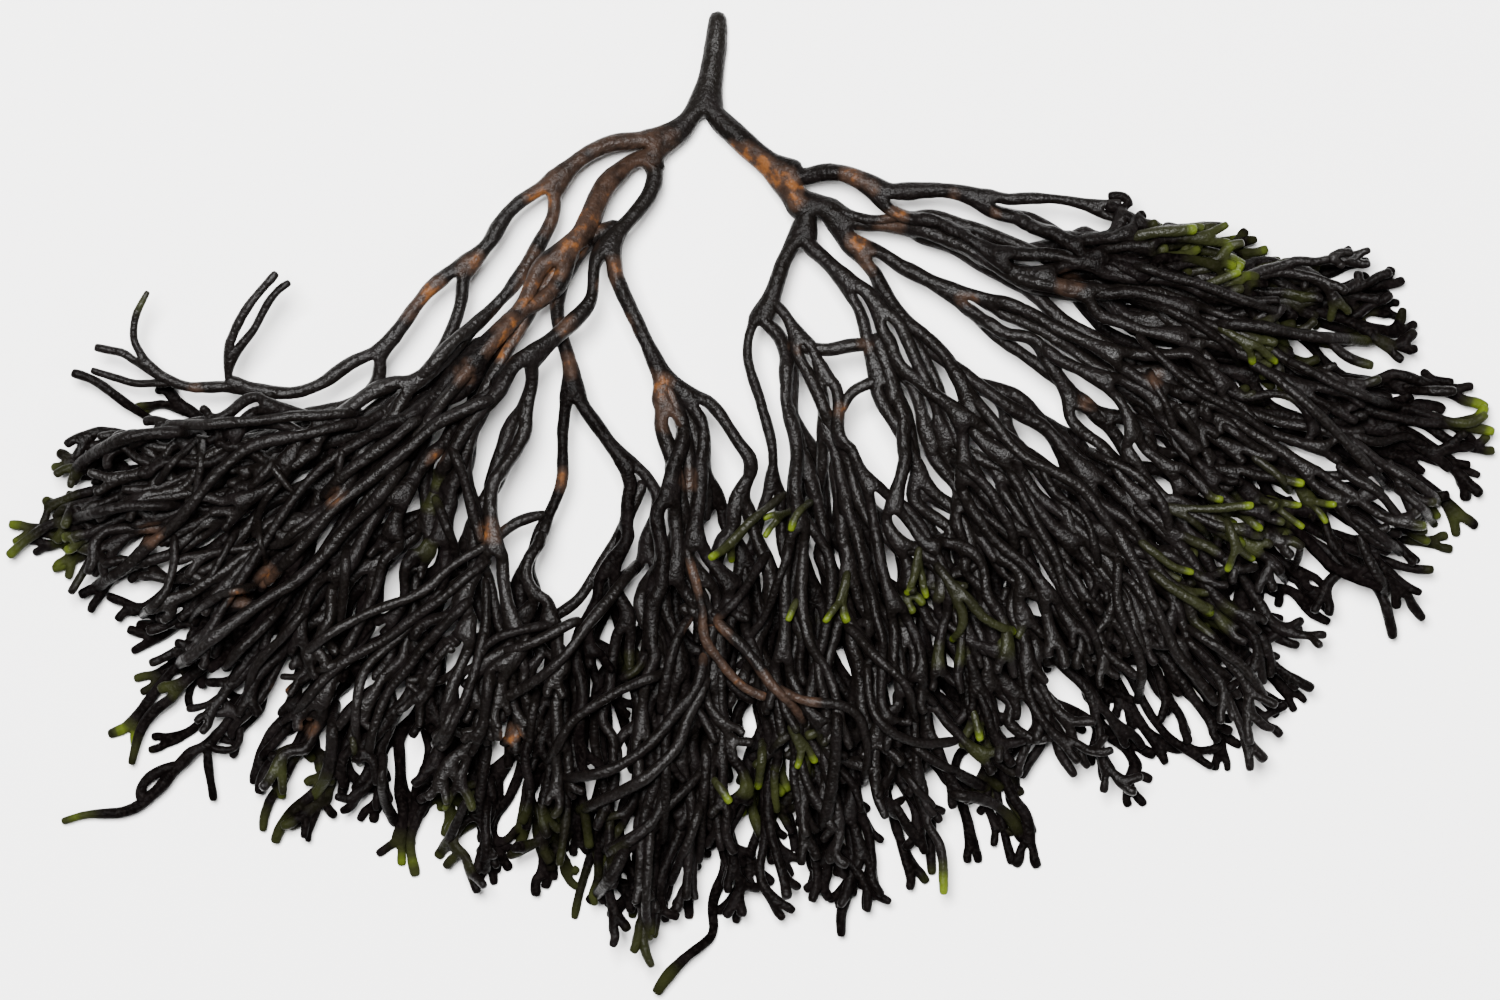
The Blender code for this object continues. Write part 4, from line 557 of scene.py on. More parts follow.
def bow(start, leaving, end, arriving, share):
    """A point of the smooth curve that leaves and arrives in the directions given."""
    reach = (end - start).length
    squared, cubed = share**2, share**3
    return (
        (2 * cubed - 3 * squared + 1) * start
        + (cubed - 2 * squared + share) * reach * leaving
        + (3 * squared - 2 * cubed) * end
        + (cubed - squared) * reach * arriving
    )


def bell(out):
    """A swelling from 0 to 0 that is 1 about a third of the way out."""
    return BULGE_SCALE * math.sqrt(max(out, 0.0)) * max(1.0 - out, 0.0)


class Spray:
    """All the strands that grow from one place on a limb."""

    def __init__(self, base, radius, opening, aims, rng):
        self.base = base
        self.radius = radius
        self.opening = opening
        self.rng = rng
        self.along = flat(middle(aims) - base).normalized()
        self.side = Vector((-self.along.y, self.along.x, 0.0))

    def width(self, tips):
        """The radius of a strand that leads to so many tips."""
        share = min(1.0, math.log(max(tips, 1), TIPS_OF_FULL_WIDTH)) ** WIDTH_POWER
        return TIP_RADIUS + (self.radius - TIP_RADIUS) * share

    def forward(self, point):
        return (point - self.base).dot(self.along)

    def sideways(self, point):
        return (point - self.base).dot(self.side)

    def place(self, aims, forward):
        """Where the strand to these aims passes at a distance forward from the base."""
        goal = middle(aims)
        out = min(forward / max(self.forward(goal), MM), 1.0)
        across = self.sideways(goal) * out**self.opening + mean(aim.sway for aim in aims) * bell(out)
        rise = mean(aim.rise for aim in aims) * MM * bell(out)
        point = self.base + self.along * forward + self.side * across
        point.z = self.base.z + (goal.z - self.base.z) * out + rise
        return point

    def lay(self, run, leaving, end, arriving, radius):
        """Adds the points of a curved stretch to a run."""
        start, first_radius = run.points[-1], run.radii[-1]
        short = (end - start).length < SHORT_STRETCH
        for share in SHORT_STRETCH_POINTS if short else LONG_STRETCH_POINTS:
            point = bow(start, leaving, end, arriving, share)
            point += Vector([self.rng.uniform(-WOBBLE, WOBBLE) for _ in range(3)])
            run.add(clear_of_gaps(point), first_radius + (radius - first_radius) * share)
        run.add(end, radius)

    def next_fork(self, here, onward, aims, spread):
        """Where a strand forks next on its way to several aims."""
        goal = middle(aims)
        step = (goal - here).length - spread * self.rng.uniform(*FORK_LENGTHS)
        if len(aims) > FEW_TIPS:
            step = min(step, self.rng.uniform(*GREATEST_STEP))
        nearest = min((aim.point - here).length for aim in aims)
        step = min(max(step, self.rng.uniform(*LEAST_STEP)), NEAREST_TIP_SHARE * nearest)
        advance = step * max(onward.dot(self.along), LEAST_ADVANCE)
        shift = self.place(aims, self.forward(here) + advance) - here
        if shift.length > GREATEST_SHIFT * step:
            shift *= GREATEST_SHIFT * step / shift.length
        across = Vector((-onward.y, onward.x, 0.0)).normalized()
        fork = clear_of_gaps(here + shift + across * self.rng.uniform(-FORK_SHIFT, FORK_SHIFT) * step)
        fork.z = max(fork.z, TIP_RADIUS)
        return fork

    def grow(self, run, heading, aims):
        """Grows a strand from the end of a run to its aims, forking in two until one aim is left."""
        rng = self.rng
        here = run.points[-1]
        onward = (middle(aims) - here).normalized()
        across = Vector((-onward.y, onward.x, 0.0)).normalized()
        if len(aims) == 1:
            self.end(run, heading, onward, across, aims[0])
            return
        wide = [self.sideways(aim.point) + SWAY_WEIGHT * aim.sway for aim in aims]
        deep = [HEIGHT_WEIGHT * aim.point.z + RISE_WEIGHT * aim.rise * MM for aim in aims]
        wide_spread, deep_spread = max(wide) - min(wide), max(deep) - min(deep)
        fork = self.next_fork(here, onward, aims, max(wide_spread, deep_spread))
        arriving = (fork - here).normalized().lerp(onward, ONWARD_SHARE)
        arriving = (arriving + across * rng.uniform(-STRAND_BEND, STRAND_BEND)).normalized()
        self.lay(run, heading, fork, arriving, self.width(len(aims)))
        by_side = wide_spread >= deep_spread * rng.uniform(*SIDE_FORK_EDGE)
        fork_way = self.side if by_side else Vector((0.0, 0.0, 1.0))
        keys = wide if by_side else deep
        order = sorted(range(len(aims)), key=lambda i: keys[i])
        cut = min(max(round(len(aims) * rng.uniform(*FORK_CUT)), 1), len(aims) - 1)
        tilt = Quaternion(arriving, math.radians(rng.gauss(0, FORK_TILT)))
        turn = tilt @ (fork_way - arriving * fork_way.dot(arriving)).normalized()
        lean = math.tan(math.radians(rng.uniform(*FORK_ANGLES)))
        for places, sign in ((order[:cut], -1), (order[cut:], 1)):
            group = [aims[i] for i in places]
            branch = Run(run.points[-1].copy(), self.width(max(len(group), LEAST_TIPS)))
            run.forks.append(branch)
            self.grow(branch, (arriving + turn * sign * lean).normalized(), group)

    def end(self, run, heading, onward, across, aim):
        """Ends a strand in a plain tip, or in prongs."""
        rng = self.rng
        arriving = (onward + across * rng.uniform(-TIP_BEND, TIP_BEND)).normalized()
        length = rng.uniform(*PRONG_LENGTHS)
        times = 2 if rng.random() < FORKED_PRONGS else 1
        stem = (aim.point - run.points[-1]).length - PRONG_REACH * length * times
        if rng.random() > FORKED_TIPS or stem < LEAST_STEM or aim.trail:
            self.lay(run, heading, aim.point, arriving, TIP_RADIUS * rng.uniform(*TIP_TAPER))
            for place in aim.trail:
                run.add(at(*place), run.radii[-1])
            return
        fork = clear_of_gaps(run.points[-1] + onward * stem)
        fork.z = max(fork.z, TIP_RADIUS)
        self.lay(run, heading, fork, arriving, TIP_RADIUS * rng.uniform(*TIP_TAPER))
        self.add_prongs(run, arriving, across, length, times)

    def add_prongs(self, run, way, across, length, times):
        """Two short prongs at the end of a run, of which the first forks again as many times as are left."""
        rng = self.rng
        tilt = Quaternion(way, math.radians(rng.gauss(0, PRONG_TILT)))
        turn = tilt @ (across - way * across.dot(way)).normalized() * rng.choice((-1, 1))
        for sign in (1, -1):
            lean = math.tan(math.radians(rng.uniform(*PRONG_ANGLES)))
            leaving = (way + turn * sign * lean).normalized()
            arriving = (leaving + turn * rng.uniform(-PRONG_BEND, PRONG_BEND)).normalized()
            prong = Run(run.points[-1].copy(), run.radii[-1])
            run.forks.append(prong)
            reach = length * rng.uniform(*PRONG_SHARES)
            tip = clear_of_gaps(run.points[-1] + leaving * reach)
            self.lay(prong, leaving, tip, arriving, TIP_RADIUS * rng.uniform(*TIP_TAPER))
            if sign > 0 and times > 1:
                self.add_prongs(prong, arriving, turn, length, times - 1)


def neighbours(aim, base, rng, count, back):
    """The tips beside a tip: each next one stands further off and ends further back."""
    out = flat(aim.point - base).normalized()
    side = Vector((-out.y, out.x, 0.0)) * rng.choice((-1, 1))
    beside = []
    for i in range(1, count + 1):
        inwards = rng.uniform(back, back + NEIGHBOUR_STEP_BACK * i) * MM
        offset = side * rng.uniform(*NEIGHBOUR_SPREAD) * i**0.5 - out * inwards
        offset.z = rng.uniform(-NEIGHBOUR_HEIGHT, NEIGHBOUR_HEIGHT) * MM
        beside.append(Aim(clear_of_gaps(aim.point + offset), aim.rise, aim.sway))
        side = side if rng.random() < SAME_SIDE_CHANCE else -side
    return beside


def rim_aims(name, base, rng):
    """The aims of a limb's spray along the rim of the fan."""
    aims = []
    sway = EDGE_SWAY.get(name, (-1.0, 1.0))
    for u, v in RIMS[name]:
        place = at(u, v, rng.uniform(*RIM_HEIGHTS))
        aims.append(Aim(place, 0.0, rng.uniform(*sway) * RIM_SWAY, TRAILS.get((u, v), ())))
        aims += neighbours(aims[-1], base, rng, rng.choice(RIM_NEIGHBOURS), RIM_NEIGHBOURS_BACK)
    return aims


def rim_point(name, share):
    """A point at a share of the way round a limb's part of the rim, or past it where another limb's is."""
    rim = [at(u, v, 0.0) for u, v in RIMS[name]]
    place = min(max(share, 0.0), 1.0) * (len(rim) - 1)
    first = min(int(place), len(rim) - 2)
    point = rim[first].lerp(rim[first + 1], place - first)
    if share < 0.0 and name != "left_inner_rim":
        point += (rim[0] - rim[-1]) * -share
    if share > 1.0 and name != "rim_inner":
        point += (rim[-1] - rim[0]) * (share - 1.0)
    return point


def inner_aims(name, depths, base, rng):
    """The aims of a limb's spray inside the fan."""
    aims = []
    sway = EDGE_SWAY.get(name, (-1.0, 1.0))
    for density, reaches, heights, rise in depths:
        count = round(density * len(RIMS[name]))
        for i in range(count):
            share = (i + rng.uniform(*PLACE_IN_SHARE)) / count
            place = rim_point(name, share + RIM_OVERLAP * (2.0 * share - 1.0))
            place = flat(base).lerp(place, rng.uniform(*reaches))
            place.z = rng.uniform(*heights) * MM
            place = clear_of_gaps(place)
            # In the solid part this draw says whether the tip stays. It keeps the other draws in step
            rng.random()
            aims.append(Aim(place, rise, rng.uniform(*sway) * SWAY))
            aims += neighbours(aims[-1], base, rng, rng.choice(INNER_NEIGHBOURS), 0.0)
    return aims


def draw_limb(parent, first, last, route):
    """A limb as one run along its route, from the end of its parent where it has one."""
    start = parent.points[-1].copy() if parent else at(*route[0])
    run = Run(start, first * MM, True)
    rest = route if parent else route[1:]
    for i, place in enumerate(rest, 1):
        run.add(at(*place), (first + (last - first) * i / len(rest)) * MM)
    if parent:
        parent.forks.append(run)
    return run


def split(limb, place):
    """Cuts a limb in two runs at one of its points, so that a spray can leave it there."""
    rest = Run(limb.points[place].copy(), limb.radii[place], True)
    rest.points = [point.copy() for point in limb.points[place:]]
    rest.radii = limb.radii[place:]
    rest.forks = limb.forks
    limb.points = limb.points[:place + 1]
    limb.radii = limb.radii[:place + 1]
    limb.forks = [rest]


def add_spray(name, limb, aims, rng, lift=0.0):
    """Grows a spray from a limb's end."""
    opening = EDGE_OPENING.get(name) or rng.uniform(*OPENING)
    spray = Spray(limb.points[-1], limb.radii[-1], opening, aims, rng)
    branch = Run(limb.points[-1].copy(), limb.radii[-1])
    limb.forks.append(branch)
    heading = (limb.points[-1] - limb.points[-2]).normalized() + Vector((0.0, 0.0, lift))
    spray.grow(branch, heading.normalized(), aims)


def grow_thallus():
    """Every run of the thallus, as the runs that the others grow from."""
    limbs = {}
    for name, (parent, first, last, route) in LIMBS.items():
        limbs[name] = draw_limb(limbs.get(parent), first, last, route)
    for name, (first, last, route) in SIDE_STRANDS.items():
        limbs[name] = draw_limb(None, first, last, route)
    for name in RIMS:
        limb = limbs[name]
        rng = random.Random(name)
        base = limb.points[-1]
        add_spray(name, limb, rim_aims(name, base, rng) + inner_aims(name, END_DEPTHS, base, rng), rng)
    for name, share in SIDE_SPRAYS.items():
        limb = limbs[name]
        rng = random.Random(name + " side")
        place = max(1, round(share * (len(limb.points) - 1)))
        if place < len(limb.points) - 1:
            split(limb, place)
        add_spray(name, limb, inner_aims(name, SIDE_DEPTHS, limb.points[-1], rng), rng, SIDE_LIFT)
    return [limbs["stalk"]] + [limbs[name] for name in SIDE_STRANDS]


# The photograph's frame is 1500 pixels wide, and 10 of them make a step of the plan grid
PHOTO_WIDTH = 150 * PLAN_STEP
CAMERA_HEIGHT = 2.0
FLOOR_SIZE = 6.0

# The mesh: a cage of six-sided rings, which one level of subdivision rounds to twelve sides. The cage is
# wider than the strand, as the subdivision shrinks it
SIDES = 6
CAGE_SWELL = 1.15

# A strand's first ring is so many radii past its fork, or at a share of its length if it is short. The last
# one is at least so many radii further on, and the others are evenly spaced between them
FIRST_RING = 1.45
FIRST_RING_SHARE = 0.45
LEAST_SPACING = 0.9
RING_SPACING = 3.0 * MM

# How many steps a strand's course has between two of its points, and the shortest step that counts
COURSE_STEPS = 5
LEAST_LENGTH = 0.001 * MM

# A fork, in radii: how wide the strand gets and from how far back, and the web between its branches
FORK_WIDTH = 1.7
FORK_SWELL = 4.2
CROTCH_AHEAD = 0.6
CROTCH_HEIGHT = 0.55

# How many radii each branch keeps to its own side, and up to how many from the fork. From there on it is let
# go over the length given
FORK_SPREAD = 1.2
CLEAR_AFTER = 3.0
SPREAD_LENGTH = 9.0 * MM

# Branches that leave in nearly the same direction, with less than this between them, are set level
LEAST_PARTING = 0.05

# The blunt end of a tip and the hidden start of a strand, in radii
TIP_SHOULDER = 0.8
TIP_FACE = 0.72
ROOT_TAPER = 0.8

# Lumps along a strand, as a share of its radius, and the grain of its surface
LUMP_SIZE = 7.0 * MM
LUMP_DEPTH = 0.3
GRAIN_SIZE = 2.6 * MM
GRAIN_DEPTH = 0.16 * MM

# A limb's end and its spray overlap between these shares of the spray's first stretch, where the hidden end
# of each is a little slimmer
CUT_SHARE = (0.35, 0.65)
HIDDEN_WIDTH = 0.88

# The pieces that the sprays are shared out to, from -X to +X
SPRAY_PIECES = ["left_edge_strands", "left_strands", "centre_strands", "right_strands", "right_edge_strands"]

# Brown and rust-coloured patches: (plan u, plan v, radius in plan steps, strength)
RUST_PATCHES = [
    (66.0, 14.0, 1.6, 0.4),
    (63.4, 14.6, 2.2, 0.55),
    (59.4, 15.4, 2.2, 0.5),
    (55.4, 18.8, 2.0, 0.5),
    (54.0, 19.8, 1.2, 1.0),
    (55.4, 21.8, 1.4, 0.6),
    (53.0, 26.0, 1.2, 0.5),
    (47.2, 26.4, 1.0, 0.9),
    (43.4, 29.2, 1.2, 1.0),
    (41.0, 31.0, 1.2, 0.5),
    (51.6, 33.0, 1.0, 0.9),
    (49.6, 34.8, 0.8, 0.8),
    (46.8, 37.2, 1.0, 0.6),
    (56.6, 32.6, 0.8, 0.8),
    (62.4, 16.6, 1.2, 0.55),
    (60.4, 19.2, 1.4, 0.65),
    (58.6, 21.8, 1.5, 0.8),
    (57.2, 24.4, 1.3, 0.95),
    (55.8, 26.6, 1.2, 0.85),
    (53.6, 29.2, 1.6, 0.8),
    (50.8, 32.4, 1.4, 0.6),
    (50.3, 35.0, 0.8, 1.0),
    (52.4, 30.4, 0.6, 1.0),
    (61.6, 26.8, 0.9, 0.8),
    (60.6, 28.4, 0.8, 0.6),
    (62.6, 32.4, 0.8, 0.7),
    (65.8, 38.6, 1.1, 1.0),
    (66.4, 41.4, 1.4, 0.6),
    (57.0, 36.2, 1.0, 0.75),
    (73.8, 15.3, 0.9, 1.0),
    (75.4, 16.6, 1.0, 1.3),
    (77.2, 18.0, 1.0, 1.1),
    (79.2, 19.4, 1.0, 1.3),
    (85.2, 17.6, 1.1, 0.75),
    (87.0, 18.6, 0.8, 0.7),
    (85.6, 24.4, 1.0, 1.0),
    (86.4, 26.6, 0.8, 0.7),
    (89.8, 21.2, 0.7, 1.0),
    (88.8, 22.6, 1.2, 0.6),
    (95.2, 20.0, 0.6, 0.8),
    (99.4, 21.6, 0.5, 0.9),
    (96.4, 29.8, 0.6, 0.9),
    (84.0, 41.0, 0.7, 0.9),
    (79.4, 34.6, 0.5, 0.7),
    (86.2, 34.2, 0.6, 0.7),
    (106.4, 28.6, 1.2, 0.5),
    (108.4, 40.0, 0.8, 0.7),
    (115.0, 38.0, 0.8, 0.7),
    (56.2, 48.0, 0.8, 0.9),
    (49.2, 53.0, 0.9, 0.9),
    (43.7, 45.5, 0.6, 0.9),
    (33.8, 49.6, 0.7, 0.8),
    (27.0, 57.4, 0.9, 0.9),
    (24.4, 59.6, 0.7, 0.9),
    (31.2, 72.4, 0.7, 0.9),
    (51.2, 73.2, 0.8, 1.0),
    (28.2, 68.6, 0.6, 0.8),
    (69.0, 48.0, 0.8, 0.6),
    (19.6, 39.0, 0.6, 0.9),
    (15.4, 53.4, 1.0, 0.7),
    (69.6, 92.2, 0.6, 0.9),
]

# Where strands on top of the pile are tan, in the same way
TAN_PATCHES = [
    (69.4, 57.6, 1.6, 0.7),
    (70.8, 63.4, 1.8, 0.7),
    (73.2, 67.2, 1.6, 0.7),
    (76.4, 68.8, 1.6, 0.65),
    (80.2, 69.9, 1.4, 0.6),
]

# Groups of tips that are green: (plan u, plan v, radius in plan steps, strength)
GREEN_GROUPS = [
    (72.0, 55.4, 2.2, 0.9),
    (76.4, 52.6, 2.4, 1.0),
    (79.0, 52.9, 1.4, 0.8),
    (79.6, 61.2, 2.0, 0.4),
    (84.0, 60.0, 1.4, 0.5),
    (120.5, 52.0, 2.2, 1.0),
    (124.8, 51.5, 2.4, 1.0),
    (129.6, 50.6, 2.6, 1.0),
    (132.8, 50.3, 1.2, 0.8),
    (119.2, 57.4, 2.0, 0.7),
    (120.5, 61.2, 1.8, 0.6),
    (93.4, 60.6, 2.4, 0.7),
    (94.6, 64.2, 1.6, 0.8),
    (100.2, 62.6, 2.0, 0.7),
    (108.0, 40.6, 1.6, 0.6),
    (119.0, 23.4, 3.2, 0.6),
    (124.4, 26.0, 2.4, 0.8),
    (129.0, 27.4, 2.2, 0.5),
    (127.0, 36.4, 3.2, 0.5),
    (134.0, 33.4, 2.6, 0.4),
    (97.8, 73.8, 1.4, 0.8),
    (80.4, 75.0, 2.0, 0.6),
    (76.2, 79.4, 2.4, 0.7),
    (73.0, 80.4, 1.2, 1.0),
    (58.4, 83.8, 3.0, 0.5),
    (53.0, 83.0, 2.2, 0.4),
    (3.0, 55.0, 4.0, 0.7),
    (5.2, 48.6, 2.4, 0.6),
    (12.4, 74.6, 1.8, 1.0),
    (14.6, 68.0, 2.6, 0.5),
    (42.6, 86.6, 3.2, 0.8),
    (45.6, 80.6, 2.0, 0.6),
    (30.0, 77.8, 2.2, 0.8),
    (27.0, 83.0, 2.0, 0.4),
    (94.2, 88.4, 1.8, 1.0),
    (100.0, 80.0, 2.4, 0.4),
    (65.2, 97.6, 2.4, 0.5),
    (64.0, 93.0, 1.6, 0.4),
    (57.8, 90.4, 2.0, 0.6),
    (148.2, 42.2, 2.6, 0.9),
    (144.0, 53.4, 2.6, 0.6),
    (137.0, 34.0, 3.0, 0.35),
    (7.4, 81.6, 2.0, 0.8),
    (15.0, 29.2, 1.6, 0.8),
    (27.8, 27.6, 1.6, 0.9),
    (29.2, 28.6, 1.2, 0.9),
    (13.0, 41.2, 1.4, 0.6),
]

